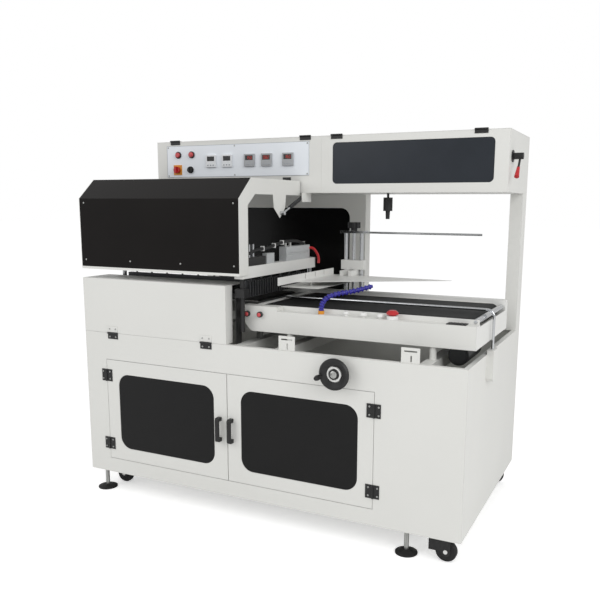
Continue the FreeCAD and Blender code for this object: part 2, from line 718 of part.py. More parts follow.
def caster_wheel(x, y, way):
    """A wheel with a crowned tread that turns on the axle."""
    half = d.caster_wheel_width / 2
    bore = d.axle_radius + d.running_gap
    radius = d.caster_wheel_radius
    profile = [(bore, -half), (radius * 0.9, -half), (radius, -half * 0.55), (radius, half * 0.55),
               (radius * 0.9, half), (bore, half)]
    axle_x = x + d.caster_trail * way
    return turned("CasterWheel", axle_x, y, -axle_drop, "+Y", profile)


# ---------------------------------------------------------------- handwheel
def handwheel():
    """A dished wheel with three spokes, its shaft through the panel and a crank knob."""
    front = -d.wheel_stand
    shaft_length = d.wheel_stand + d.gearbox_depth - d.member_wall * 2
    shaft = cylinder(d.wheel_x, front, d.wheel_z, d.shaft_radius, shaft_length, "+Y")
    bevel = d.wheel_rim_depth / 3
    rim_profile = [(d.wheel_rim_inner, 0), (d.wheel_rim_radius - bevel, 0),
                   (d.wheel_rim_radius, bevel), (d.wheel_rim_radius, d.wheel_rim_depth - bevel),
                   (d.wheel_rim_radius - bevel, d.wheel_rim_depth),
                   (d.wheel_rim_radius - 2 * bevel, d.wheel_rim_depth),
                   (d.wheel_rim_inner, d.spoke_depth)]
    ring = turned("WheelRim", d.wheel_x, front, d.wheel_z, "-Y", rim_profile)
    hub = cylinder(d.wheel_x, front + d.wheel_hub_depth / 2, d.wheel_z, d.wheel_hub_radius,
                   d.wheel_hub_depth, "-Y")
    spokes = []
    for index in range(3):
        spoke = block(0, 0, 0, d.wheel_rim_inner + d.spoke_depth / 2, d.spoke_depth, d.spoke_width)
        turn = FreeCAD.Rotation(FreeCAD.Vector(0, 1, 0), 30 + 120 * index)
        offset = turn.multVec(FreeCAD.Vector(0, 0, -1))
        spoke.Placement = FreeCAD.Placement(FreeCAD.Vector(), turn)
        put(spoke, d.wheel_x + d.spoke_width / 2 * offset.x, front - d.spoke_depth,
            d.wheel_z + d.spoke_width / 2 * offset.z)
        spokes.append(spoke)
    pin = d.crank_knob_radius * 0.4
    knob_profile = [(0, 0), (pin, 0), (pin, pin), (d.crank_knob_radius * 0.7, 1.5 * pin),
                    (d.crank_knob_radius, d.crank_knob_length * 0.72),
                    (d.crank_knob_radius * 0.72, d.crank_knob_length), (0, d.crank_knob_length)]
    knob = turned("CrankKnob", d.wheel_x - d.crank_radius, front - d.wheel_rim_depth,
                  d.wheel_z - d.crank_knob_radius * 0.8, "-Y", knob_profile)
    return fused(shaft, ring, hub, *spokes, knob)


# ---------------------------------------------------------------- conveyor
roller_z = d.belt_level - d.belt_sheet - d.roller_slack - d.roller_radius
wrap = d.roller_radius + d.roller_slack + d.belt_sheet
ledge_z = d.cover_top - d.ledge_drop
cover_right = length - wall
rail_front = d.belt_front - d.rail_gap - wall
out_rail_front = d.outfeed_front - d.rail_gap - 2 * wall
crossbar_low = roller_z - wrap - d.crossbar_height - d.roller_slack


def belt(start, end, front):
    """A closed belt loop round two rollers."""
    width = d.belt_back - front
    first = start + wrap
    last = end - wrap
    inner = wrap - d.belt_sheet
    loops = []
    for radius in (wrap, inner):
        straight = block(first, front, roller_z - radius, last - first, width, 2 * radius)
        ends = [cylinder(x, front, roller_z, radius, width, "+Y") for x in (first, last)]
        loops.append(fused(straight, *ends))
    return cut(loops[0], loops[1])


def roller(x, front, rail_face):
    """A belt roller with its shaft through both rails."""
    barrel = cylinder(x, front, roller_z, d.roller_radius, d.belt_back - front, "+Y")
    shaft_front = rail_face + d.flat_gap
    shaft = cylinder(x, shaft_front, roller_z, d.roller_shaft_radius,
                     d.rear_cover_front + 2 * wall - shaft_front, "+Y")
    return fused(barrel, shaft)


def transfer_roller():
    """The small polished roller after the belt's right end."""
    x = cover_right - d.transfer_inset
    z = d.belt_level - d.transfer_radius - d.roller_slack
    barrel = cylinder(x, d.belt_front, z, d.transfer_radius, d.belt_back - d.belt_front, "+Y")
    shaft = cylinder(x, rail_front - wall, z, d.roller_shaft_radius,
                     d.rear_cover_front + 3 * wall - rail_front, "+Y")
    return fused(barrel, shaft)


def front_cover():
    """The long front cover with a rounded nose at the left and a recessed ledge on top."""
    nose_low = d.cover_left + d.cover_nose
    face = [(nose_low, d.cover_bottom, d.cover_nose_radius, 1), (d.cover_left, d.cover_top),
            (d.ledge_start, d.cover_top), (d.ledge_start, ledge_z), (cover_right, ledge_z),
            (cover_right, d.cover_bottom)]
    body = prism("FrontCover", "XZ", [face], d.cover_front, wall)
    back = d.cover_front + d.cover_depth - wall
    inside = rail_front - d.cover_front - wall
    behind = d.cover_front + wall
    top_left = rectangle(d.cover_left + wall, d.cover_top - wall, d.ledge_start, d.cover_top)
    pad(body, "XZ", [top_left], behind, inside)
    ledge = [(d.ledge_start - wall, d.cover_top - wall), (d.ledge_start - wall, ledge_z - wall),
             (cover_right, ledge_z - wall), (cover_right, ledge_z), (d.ledge_start, ledge_z),
             (d.ledge_start, d.cover_top - wall)]
    pad(body, "XZ", [ledge], behind, inside)
    hem = rectangle(nose_low + 2 * wall, d.cover_bottom, cover_right, d.cover_bottom + wall)
    pad(body, "XZ", [hem], behind, d.lift_bush_radius - d.lift_post_radius - wall)
    return body


def rear_cover():
    """The inverted channel along the conveyor's back, with holes for the roller shafts."""
    front = d.rear_cover_front
    back = front + d.rear_cover_depth
    low = d.rear_cover_bottom
    top = d.rear_cover_top
    section = [(front, low), (front + wall, low), (front + wall, top - wall), (back - wall, top - wall),
               (back - wall, low), (back, low), (back, top), (front, top)]
    body = prism("RearCover", "YZ", [section], d.box_left, cover_right - d.box_left)
    holes = [(x, roller_z, d.roller_shaft_radius + d.running_gap) for x in roller_places]
    holes.append((cover_right - d.transfer_inset, d.belt_level - d.transfer_radius - d.roller_slack,
                  d.roller_shaft_radius + d.running_gap))
    pocket(body, "XZ", holes, front - wall, 3 * wall)
    return body


def rail(start, end, front, places):
    """A flat side rail of a belt bed with its shaft holes."""
    holes = [(x, z, d.roller_shaft_radius + d.running_gap) for x, z in places]
    low = crossbar_low + d.crossbar_height
    return prism("Rail", "XZ", [rectangle(start, low, end, d.belt_level - d.belt_sheet)] + holes,
                 front, wall)


infeed_places = (d.infeed_start + wrap, infeed_end - wrap)
outfeed_places = (d.outfeed_start + wrap, d.outfeed_end - wrap)
roller_places = infeed_places + outfeed_places


def bed(start, end, front):
    """The slider plate under a belt's upper run."""
    margin = wrap + d.roller_radius * 0.6
    low = d.belt_level - d.belt_sheet - d.bed_sheet
    return block(start + margin, front, low, end - start - 2 * margin, d.rear_cover_front - front,
                 d.bed_sheet)


def lift_bush(x, y):
    """A bush that slides on a lift post."""
    low = d.rear_cover_bottom
    outer = cylinder(x, y, low, d.lift_bush_radius, d.lift_bush_height)
    return cut(outer, cylinder(x, y, low, d.lift_post_radius + d.running_gap, d.lift_bush_height))


def end_plate():
    """The white plate that closes the conveyor's right end."""
    front = d.cover_front
    back = d.rear_cover_front + d.rear_cover_depth
    rear_inner = d.rear_cover_front
    outline = [(front, d.cover_bottom), (back, d.cover_bottom), (back, d.rear_cover_top),
               (rear_inner, d.rear_cover_top), (rear_inner, d.end_plate_top),
               (rail_front, d.end_plate_top), (rail_front, ledge_z), (front, ledge_z)]
    return prism("EndPlate", "YZ", [outline], cover_right, wall)


def conveyor_frame():
    """Rear cover, rails, slider beds, crossbars, lift bushes, end plate and the outfeed's rollers."""
    transfer_place = (cover_right - d.transfer_inset, d.belt_level - d.transfer_radius - d.roller_slack)
    infeed_rail = rail(d.nose_plate_start, cover_right, rail_front,
                       [(x, roller_z) for x in infeed_places] + [transfer_place])
    outfeed_rail = rail(d.box_left, d.outfeed_end - wall, out_rail_front,
                        [(x, roller_z) for x in outfeed_places])
    parts = [rear_cover(), infeed_rail, outfeed_rail, end_plate()]
    parts.append(bed(d.infeed_start, infeed_end, rail_front + wall))
    parts.append(bed(d.outfeed_start, d.outfeed_end, out_rail_front + wall))
    bar_places = ((d.member_film + d.lift_bush_radius, d.cover_front + wall),
                  (member_right + d.lift_bush_radius, d.cover_front + wall),
                  (d.member_left * 2, out_rail_front), (d.member_seal * 1.5, out_rail_front))
    for x, front in bar_places:
        parts.append(block(x, front, crossbar_low, d.crossbar_width, d.rear_cover_front - front,
                           d.crossbar_height))
    parts.extend(lift_bush(x, y) for x, y in LIFT_POINTS)
    parts.extend(roller(x, d.outfeed_front, out_rail_front) for x in outfeed_places)
    parts.append(block(d.nose_plate_start, rail_front + wall, d.belt_level - d.nose_plate_sheet,
                       d.infeed_start - d.nose_plate_start - d.roller_slack,
                       d.rear_cover_front - rail_front - wall, d.nose_plate_sheet - d.roller_slack))
    return grouped(*parts)


def drive_motor():
    """The geared motor that hangs from the right crossbar and drives the belts."""
    x = length - d.motor_inset
    plate_low = crossbar_low - d.motor_plate
    z = plate_low - d.motor_radius - d.motor_saddle
    barrel = cylinder(x, d.belt_front, z, d.motor_radius, d.motor_length, "+Y")
    cap = cylinder(x, d.belt_front - d.motor_plate, z, d.motor_radius * 0.8, d.motor_plate, "+Y")
    left = member_right + d.lift_bush_radius
    plate_front = d.belt_front + d.motor_length / 4
    plate = block(left, plate_front, plate_low, x + d.motor_radius - left, d.motor_length / 2,
                  d.motor_plate)
    saddle_half = d.motor_radius / 2
    saddle = block(x - saddle_half, plate_front, z, 2 * saddle_half, d.motor_length / 2, plate_low - z)
    return fused(barrel, cap, plate, saddle)


# ---------------------------------------------------------------- sealing jaws
jaw_right = d.jaw_left + d.jaw_width
jaw_top = d.jaw_bottom + d.jaw_height
jaw_x = d.jaw_left + d.jaw_width / 2
arm_y = d.jaw_arm_front + d.jaw_arm_width / 2
clamp_top = d.jaw_bottom - d.clamp_drop
clamp_low = clamp_top - d.clamp_height
JAW_POSTS = ((jaw_x, d.post_front_y), (jaw_x, d.post_back_y), (d.post_arm_x, arm_y))


def upper_jaw():
    """The L-shaped bar that carries the upper sealing knife, with bolt holes along both arms."""
    arm_back = d.jaw_arm_front + d.jaw_arm_width
    outline = [(d.jaw_left, d.jaw_front), (jaw_right, d.jaw_front), (jaw_right, d.jaw_back),
               (d.jaw_left, d.jaw_back), (d.jaw_left, arm_back), (d.jaw_arm_left, arm_back),
               (d.jaw_arm_left, d.jaw_arm_front), (d.jaw_left, d.jaw_arm_front)]
    return prism("UpperJaw", "XY", [outline], d.jaw_bottom, d.jaw_height)


def clamp_comb():
    """The film clamp of the cross arm: a bar with a row of upright ribs."""
    left = jaw_x - d.clamp_width / 2
    body = prism("ClampComb", "XY",
                 [rectangle(left, d.clamp_front, left + d.clamp_width, d.clamp_back)],
                 clamp_low, d.clamp_height)
    doc.recompute()
    rib_left = left + d.clamp_width
    rib = pad(body, "XY", [rectangle(rib_left, d.clamp_front, rib_left + d.rib_depth,
                                     d.clamp_front + d.rib_width)], clamp_low, d.clamp_height)
    run = d.clamp_back - d.clamp_front - d.rib_width
    copies = int(run.number / d.rib_pitch.number) + 1
    pattern = body.newObject("PartDesign::LinearPattern", "RibRow")
    pattern.Originals = [rib]
    axis = next(line for line in body.Origin.OriginFeatures if line.Role == "Y_Axis")
    pattern.Direction = (axis, [""])
    pattern.Occurrences = copies
    bind(pattern, "Length", d.rib_pitch * (copies - 1))
    body.Tip = pattern
    return body


def jaw_clamp():
    """Both film clamps with their knives, hung from the jaw on pins."""
    knife_low = clamp_low - d.knife_depth
    cross_knife = block(jaw_x - d.knife_width / 2, d.clamp_front, knife_low, d.knife_width,
                        d.clamp_back - d.clamp_front, d.knife_depth)
    parts = [fused(clamp_comb(), cross_knife)]
    arm_length = d.jaw_left - d.clamp_arm_left
    arm_bar = block(d.clamp_arm_left, arm_y - d.clamp_arm_width / 2, clamp_low, arm_length,
                    d.clamp_arm_width, d.clamp_height)
    arm_knife = block(d.clamp_arm_left, arm_y - d.knife_width / 2, knife_low, arm_length,
                      d.knife_width, d.knife_depth)
    parts.append(fused(arm_bar, arm_knife))
    cross_length = (d.clamp_back - d.clamp_front).number
    for index in range(int(cross_length / d.pin_pitch.number)):
        y = d.clamp_front + d.pin_pitch * (index + 0.5)
        parts.append(cylinder(jaw_x, y, clamp_top, d.pin_radius, d.clamp_drop))
    for index in range(int(arm_length.number / d.pin_pitch.number)):
        x = d.clamp_arm_left + d.pin_pitch * (index + 0.5)
        parts.append(cylinder(x, arm_y, clamp_top, d.pin_radius, d.clamp_drop))
    return grouped(*parts)


def jaw_hardware():
    """The jaw's guide posts and, on its bar, the terminal block, studs, valve and actuator."""
    parts = []
    for x, y in JAW_POSTS:
        parts.append(cylinder(x, y, d.jaw_bottom - d.jaw_post_length, d.jaw_post_radius,
                              d.jaw_post_length))
    margin = d.pin_radius
    terminal = block(d.jaw_left + margin, d.terminal_front, jaw_top, d.jaw_width - 2 * margin,
                     d.terminal_length, d.terminal_height)
    parts.append(terminal)
    for share in (0.3, 0.5):
        parts.append(cylinder(jaw_x, d.terminal_front + d.terminal_length * share,
                              jaw_top + d.terminal_height, d.stud_radius,
                              d.stud_height - d.terminal_height))
    valve_front = d.terminal_front + d.terminal_length + d.terminal_height / 2
    valve = block(d.jaw_left + 2 * margin, valve_front, jaw_top, d.jaw_width - 4 * margin,
                  d.fitting_length, d.fitting_height)
    parts.append(valve)
    left = jaw_x - d.actuator_width / 2
    groove = d.actuator_width / 8
    middle = jaw_top + d.actuator_height / 2
    right = left + d.actuator_width
    section = [(left, jaw_top), (right, jaw_top), (right, middle - groove),
               (right - groove, middle - groove), (right - groove, middle + groove),
               (right, middle + groove), (right, jaw_top + d.actuator_height),
               (left, jaw_top + d.actuator_height), (left, middle + groove),
               (left + groove, middle + groove), (left + groove, middle - groove),
               (left, middle - groove)]
    cap = 3 * groove
    barrel = prism("Actuator", "XZ", [section], d.actuator_front + cap, d.actuator_length - 2 * cap)
    caps = [block(left, y, jaw_top, d.actuator_width, cap, d.actuator_height)
            for y in (d.actuator_front, d.actuator_front + d.actuator_length - cap)]
    parts.append(fused(barrel, *caps))
    return grouped(*parts)


def lower_jaw():
    """The fixed L-shaped lower jaw on three webs, and the three bearings of the upper jaw's posts."""
    arm_back = d.jaw_arm_front + d.jaw_arm_width
    left = d.jaw_left + wall
    outline = [(d.clamp_arm_left, d.jaw_arm_front), (jaw_right, d.jaw_arm_front),
               (jaw_right, d.lower_jaw_back), (left, d.lower_jaw_back), (left, arm_back),
               (d.clamp_arm_left, arm_back)]
    bar = prism("LowerJaw", "XY", [outline], d.lower_jaw_bottom,
                d.lower_jaw_top - d.lower_jaw_bottom)
    half = d.lower_jaw_web / 2
    webs = []
    web_back = d.lower_jaw_back - d.jaw_arm_width / 2
    for x, y in ((d.member_seal, arm_y), (d.member_jaw, arm_y), (d.member_jaw, web_back)):
        webs.append(block(x - half, y - half, member_top, 2 * half, 2 * half,
                          d.lower_jaw_bottom - member_top))
    parts = [bar, *webs]
    half = d.bearing_side / 2
    for x, y in JAW_POSTS:
        housing = block(x - half, y - half, d.bearing_bottom, d.bearing_side, d.bearing_side,
                        d.bearing_height)
        leg = block(x - half, y - half, member_top, d.bearing_leg, d.bearing_side,
                    d.bearing_bottom - member_top)
        bore = cylinder(x, y, d.bearing_bottom, d.jaw_post_radius + d.running_gap, d.bearing_height)
        parts.append(cut(fused(housing, leg), bore))
    return grouped(*parts)


# ---------------------------------------------------------------- guard and gas spring
guard_slope = (d.guard_top - d.guard_fold) / d.guard_run
guard_drop = d.guard_sheet * root(guard_slope * guard_slope + 1)


def guard_shell():
    """The dark folded sheet of the flip-up guard and the moving leaves of its hinges."""
    low = d.guard_bottom + d.guard_rail_height
    inner_top = d.guard_top - d.guard_sheet
    inner_fold = d.guard_fold + guard_slope * d.guard_sheet - guard_drop
    inner_run = (inner_top - d.guard_fold + guard_drop) / guard_slope
    section = [(0, low), (0, d.guard_fold), (d.guard_run, d.guard_top), (d.guard_back, d.guard_top),
               (d.guard_back, inner_top), (inner_run, inner_top), (d.guard_sheet, inner_fold),
               (d.guard_sheet, low)]
    skin = prism("GuardSkin", "YZ", [section], wall, d.guard_length - 2 * wall)
    leaves = []
    reach = d.leaf_reach * 0.9
    for centre in (d.guard_hinge_left, d.guard_hinge_right):
        leaves.append(block(centre - d.guard_leaf_width / 2, d.guard_back - reach, d.guard_top,
                            d.guard_leaf_width, reach, d.leaf_sheet))
    return fused(skin, *leaves)


def guard_plate(start, with_tab):
    """One white end plate of the guard, open inside, with or without the gas spring's tab."""
    outline = [(0, d.guard_bottom), (0, d.guard_fold), (d.guard_run, d.guard_top),
               (d.guard_back, d.guard_top), (d.guard_back, d.guard_bar_top)]
    if with_tab:
        outline += [(d.tab_back, d.guard_bar_top), (d.tab_back - d.tab_taper, d.tab_shoulder),
                    (d.tab_tip_y, d.tab_tip_z), (d.tab_front + d.tab_taper, d.tab_shoulder),
                    (d.tab_front, d.guard_bar_top)]
    outline += [(d.guard_bar_run, d.guard_bar_top), (d.guard_bar, d.guard_bar_inner),
                (d.guard_bar, d.guard_bottom)]
    return prism("GuardPlate", "YZ", [outline], start, wall)


def guard_frame():
    """The guard's two end plates and its lower rail."""
    low_rail = block(wall, 0, d.guard_bottom, d.guard_length - 2 * wall, d.guard_rail_depth,
                     d.guard_rail_height)
    return grouped(guard_plate(0, False), guard_plate(d.guard_length - wall, True), low_rail)


spring_line = FreeCAD.Vector(0, (d.spring_eye_y - d.spring_pivot_y).number,
                             (d.spring_eye_z - d.spring_pivot_z).number)
spring_length = size(spring_line.Length)
spring_way = FreeCAD.Vector(spring_line).normalize()
spring_step_y = size(spring_way.y)
spring_step_z = size(spring_way.z)


def on_spring(distance):
    """The point of the gas spring's axis at a distance from its fixed pivot."""
    return (spring_x, d.spring_pivot_y + distance * spring_step_y,
            d.spring_pivot_z + distance * spring_step_z)


def gas_spring_cylinder():
    """The gas spring's tube with an eye round the bracket's pin and a bore for the rod."""
    tube_end = d.spring_tube_start + d.spring_tube_length
    tube = cylinder(*on_spring(size(0)), d.spring_radius, tube_end, spring_way)
    eye_width = 2 * d.spring_radius - 2 * d.leaf_sheet
    eye_x = spring_x - eye_width / 2
    eye = cylinder(eye_x, d.spring_pivot_y, d.spring_pivot_z, d.spring_eye_radius, eye_width, "+X")
    pin_hole = cylinder(eye_x - d.spring_radius, d.spring_pivot_y, d.spring_pivot_z,
                        d.spring_pin_radius + d.running_gap, 4 * d.spring_radius, "+X")
    rod_hole = cylinder(*on_spring(d.spring_tube_start), d.spring_rod_radius + d.running_gap,
                        d.spring_tube_length, spring_way)
    return cut(fused(tube, eye), pin_hole, rod_hole)


def gas_spring_rod():
    """The gas spring's rod with its end eye beside the guard's tab."""
    start = d.spring_tube_start + d.leaf_sheet
    rod = cylinder(*on_spring(start), d.spring_rod_radius, spring_length - start, spring_way)
    eye_left = d.guard_length + d.flat_gap
    eye = cylinder(eye_left, d.spring_eye_y, d.spring_eye_z, d.spring_eye_radius,
                   2 * (spring_x - eye_left) - d.spring_rod_radius, "+X")
    return fused(rod, eye)


# ---------------------------------------------------------------- overhead box and beam
def shell(left, right, *holes):
    """An open-topped sheet box over the full depth behind the box front."""
    back_depth = depth - d.box_front
    outer = block(left, d.box_front, d.box_bottom, right - left, back_depth, d.box_height)
    inner = block(left + wall, d.box_front + wall, d.box_bottom + wall, right - left - 2 * wall,
                  back_depth - 2 * wall, d.box_height)
    return cut(outer, inner, *holes)


def control_box():
    """The control box with the gas spring's bracket and pin under its front edge."""
    bracket_x = spring_x + d.spring_radius + d.flat_gap
    bracket = block(bracket_x, d.bracket_front, d.bracket_low, d.bracket_sheet,
                    d.bracket_back - d.bracket_front, d.box_bottom - d.bracket_low)
    pin_start = spring_x - d.spring_radius
    pin = cylinder(pin_start, d.spring_pivot_y, d.spring_pivot_z, d.spring_pin_radius,
                   bracket_x - pin_start, "+X")
    return fused(shell(d.box_left, d.box_right), bracket, pin)


def beam_window_outline(edge):
    """The beam's window, grown by an edge."""
    low_z = d.box_bottom + d.beam_window_low - edge
    return rectangle(d.box_right + d.beam_window_left - edge, low_z,
                     length - d.beam_window_right + edge,
                     low_z + d.beam_window_height + 2 * edge, d.beam_window_round)


def beam_box():
    """The overhead beam with a long window cut-out in front."""
    hole = prism("BeamWindowHole", "XZ", [beam_window_outline(size(0))], d.box_front - wall, 3 * wall)
    return shell(d.box_right, length, hole)


def lid(left, right, hinges):
    """A flat lid with the moving leaves of its front hinges."""
    cover = block(left, d.box_front, beam_top, right - left, depth - d.box_front, d.lid_sheet)
    reach = d.leaf_reach * 0.8
    leaves = [block(centre - d.leaf_width / 2, d.box_front + d.lid_gap, beam_top + d.lid_sheet,
                    d.leaf_width, reach, d.leaf_sheet) for centre in hinges]
    return fused(cover, *leaves)


def rear_window_outline(edge):
    """The rear panel's window, grown by an edge."""
    return rectangle(d.rear_window_left - edge, d.rear_window_low - edge, d.rear_window_right + edge,
                     d.rear_window_top + edge, d.rear_window_round)


def fixed_windows():
    """The dark sheets behind the rear panel's and the beam's cut-outs."""
    edge = d.window_overlap
    rear = prism("RearWindow", "XZ", [rear_window_outline(edge)], d.rear_front + wall, d.window_sheet)
    front = prism("BeamWindow", "XZ", [beam_window_outline(edge)], d.box_front + wall, d.window_sheet)
    return grouped(rear, front)


def rear_frame():
    """The folded rear panel with its window cut-out, and the square right post."""
    outer = rectangle(d.rear_left, rim, d.rear_right, d.box_bottom)
    panel = prism("RearPanel", "XZ", [outer, rear_window_outline(size(0))], d.rear_front, wall)
    fold = rectangle(d.rear_left + wall, rim + wall, d.rear_right - wall, d.box_bottom - wall)
    pad(panel, "XZ", [outer, fold], d.rear_front + wall, depth - d.rear_front - wall)
    left = length - d.post_width
    front = depth - d.post_depth
    section = rectangle(left, front, length, depth)
    core = rectangle(left + d.post_wall, front + d.post_wall, length - d.post_wall,
                     depth - d.post_wall)
    post = prism("RightPost", "XY", [section, core], rim, d.box_bottom - rim)
    return grouped(panel, post)


# ---------------------------------------------------------------- control panel
panel_y = d.box_front - d.plate_sheet
panel_centre_z = d.box_bottom + d.button_rise
switch_z = d.box_bottom + d.switch_rise


def control_plate():
    """The thin instrument plate on the control box's front."""
    low = d.box_bottom + d.plate_low
    outline = rectangle(d.plate_left, low, d.plate_left + d.plate_length, low + d.plate_height,
                        d.plate_round)
    return prism("ControlPlate", "XZ", [outline], panel_y, d.plate_sheet)


def bezel(x, z):
    """A ring round a button or switch."""
    ring = cylinder(x, panel_y - d.bezel_depth, z, d.bezel_radius, d.bezel_depth, "+Y")
    hole = cylinder(x, panel_y - d.bezel_depth, z, d.button_radius + d.flat_gap, d.bezel_depth, "+Y")
    return cut(ring, hole)


def panel_fittings():
    """The five controllers, the lamp, the bezels, the isolator's plate and the lever's flange."""
    parts = []
    low = d.box_bottom + d.controller_low
    margin = d.display_margin
    for centre in CONTROLLER_CENTRES:
        left = centre - d.controller_width / 2
        front = panel_y - d.controller_depth
        case = block(left, front, low, d.controller_width, d.controller_depth, d.controller_height)
        recess = block(left + margin, front, low + d.controller_height / 2,
                       d.controller_width - 2 * margin, d.display_recess,
                       d.controller_height / 2 - margin)
        parts.append(cut(case, recess))
    parts.append(bezel(d.button_x, panel_centre_z))
    lamp = [(0, 0), (d.bezel_radius, 0), (d.bezel_radius, d.bezel_depth),
            (d.button_radius, d.bezel_depth), (d.button_radius * 0.8, d.bezel_depth + d.button_depth * 0.6),
            (0, d.bezel_depth + d.button_depth * 0.8)]
    parts.append(turned("Lamp", d.lamp_x, panel_y, panel_centre_z, "-Y", lamp))
    half = d.switch_side / 2
    parts.append(block(d.switch_x - half, panel_y - wall, switch_z - half, d.switch_side, wall,
                       d.switch_side))
    parts.append(cylinder(d.selector_x, panel_y, switch_z, d.bezel_radius, d.bezel_depth, "-Y"))
    parts.append(cylinder(length, d.lever_y, d.lever_z, d.lever_flange_radius, d.lever_flange_depth,
                          "+X"))
    return grouped(*parts)


def start_button():
    """The push button inside its bezel."""
    back = d.button_travel + d.flat_gap
    profile = [(0, back), (d.button_radius, back), (d.button_radius, back + d.button_depth - 2),
               (d.button_radius - 2, back + d.button_depth), (0, back + d.button_depth)]
    return turned("StartButton", d.button_x, panel_y, panel_centre_z, "-Y", profile)


def rotary_knob(name, x, stand, radius, knob_depth, grip):
    """A round switch knob with a raised grip bar across it."""
    disc = cylinder(x, panel_y - stand - d.flat_gap, switch_z, radius, knob_depth, "-Y")
    bar = block(x - grip / 2, panel_y - stand - d.flat_gap - knob_depth - grip, switch_z - radius * 0.95,
                grip, grip, radius * 1.9)
    return fused(disc, bar)


# ---------------------------------------------------------------- film stand and inverting head
def film_stand():
    """The inverting head's stand: base, two guide rods and a top plate that the spindle passes."""
    base_low = member_top
    base = block(d.stand_x - d.stand_base_length / 2, d.stand_y - d.stand_base_depth / 2, base_low,
                 d.stand_base_length, d.stand_base_depth, d.stand_base_sheet)
    rod_low = base_low + d.stand_base_sheet
    top_low = d.stand_top - d.stand_top_sheet
    rods = [cylinder(d.stand_x + share * d.stand_rod_spacing, d.stand_y, rod_low, d.stand_rod_radius,
                     top_low - rod_low) for share in (-0.5, 0.5)]
    top = block(d.stand_x - d.stand_top_length / 2, d.stand_y - d.stand_top_depth / 2, top_low,
                d.stand_top_length, d.stand_top_depth, d.stand_top_sheet)
    hole = cylinder(d.stand_x, d.stand_y, top_low, spindle_radius + d.running_gap, d.stand_top_sheet)
    return grouped(base, *rods, cut(top, hole))


spindle_radius = d.stand_rod_radius - 1


def film_spindle():
    """The height spindle with its fluted hand knob above the top plate."""
    low = member_top + d.stand_base_sheet + d.flat_gap
    knob_low = d.stand_top + d.flat_gap
    spindle = cylinder(d.stand_x, d.stand_y, low, spindle_radius, knob_low - low)
    body = new_body("HandKnob")
    hub = spindle_radius * 2
    pad(body, "XY", [(0, 0, hub)], 0, d.hand_knob_height * 0.3)
    pad(body, "XY", [(0, 0, d.hand_knob_radius)], d.hand_knob_height * 0.3, d.hand_knob_height * 0.7)
    doc.recompute()
    flute = pocket(body, "XY", [(d.hand_knob_radius + 1, 0, d.hand_knob_radius * 0.3)],
                   d.hand_knob_height * 0.3, d.hand_knob_height * 0.7)
    pattern = body.newObject("PartDesign::PolarPattern", "Flutes")
    pattern.Originals = [flute]
    axis = next(line for line in body.Origin.OriginFeatures if line.Role == "Z_Axis")
    pattern.Axis = (axis, [""])
    pattern.Angle = 360
    pattern.Occurrences = 6
    body.Tip = pattern
    put(body, d.stand_x, d.stand_y, knob_low)
    return fused(spindle, body)


def film_head():
    """The two inverting plates on their arms and the block that slides on the stand's rods."""
    level = d.head_plate_level
    left = d.head_flange_left
    triangle = [(left, d.head_point_y), (d.head_tip_x, d.head_tip_y), (left, d.head_flange_back)]
    upper = prism("UpperPlate", "XY", [triangle], level, d.head_plate_sheet)
    flange_low = level + d.head_plate_sheet
    slots = []
    for share in (0.45, 0.63, 0.8):
        y = d.head_flange_front + (d.head_flange_back - d.head_flange_front) * share
        slots.append(rectangle(y, flange_low + d.spacer_radius, y + d.spacer_radius,
                               flange_low + d.head_flange_height - d.spacer_radius))
    side = rectangle(d.head_flange_front, level, d.head_flange_back, level + d.head_flange_height)
    pad(upper, "YZ", [side] + slots, left - d.head_plate_sheet, d.head_plate_sheet)
    lower = prism("LowerPlate", "XY", [[
        (d.lower_plate_left, d.lower_plate_front), (d.lower_plate_right, d.lower_plate_front),
        (d.lower_plate_right + d.rail_gap * 7, d.lower_plate_back),
        (d.lower_plate_left, d.lower_plate_back)]], d.lower_plate_level, d.head_plate_sheet)
    spacer_low = d.lower_plate_level + d.head_plate_sheet
    spacers = []
    near = left + d.head_flange_height
    far = d.lower_plate_back - d.head_flange_height
    for x, y in ((near, d.lower_plate_front + 3 * d.head_flange_height), (near, far),
                 (d.lower_plate_right - d.head_flange_height, far)):
        spacers.append(cylinder(x, y, spacer_low, d.spacer_radius, level - spacer_low))
    block_left = d.stand_x - d.head_block_length / 2
    block_front = d.stand_y - d.head_block_depth / 2
    slide = block(block_left, block_front, d.head_block_low, d.head_block_length, d.head_block_depth,
                  d.head_block_height)
    holes = [cylinder(d.stand_x + share * d.stand_rod_spacing, d.stand_y, d.head_block_low,
                      d.stand_rod_radius + d.running_gap, d.head_block_height)
             for share in (-0.5, 0.5)]
    holes.append(cylinder(d.stand_x, d.stand_y, d.head_block_low, spindle_radius + d.running_gap,
                          d.head_block_height))
    slide = cut(slide, *holes)
    arms = []
    arm_low = level + d.head_plate_sheet
    for share in (-0.27, 0.27):
        x = d.stand_x + d.stand_rod_spacing * share - d.head_arm_width / 2
        arms.append(block(x, d.head_arm_front, arm_low, d.head_arm_width,
                          block_front + d.head_block_depth - d.head_arm_front,
                          d.head_block_low - arm_low))
    return grouped(upper, *arms, slide, lower, *spacers)


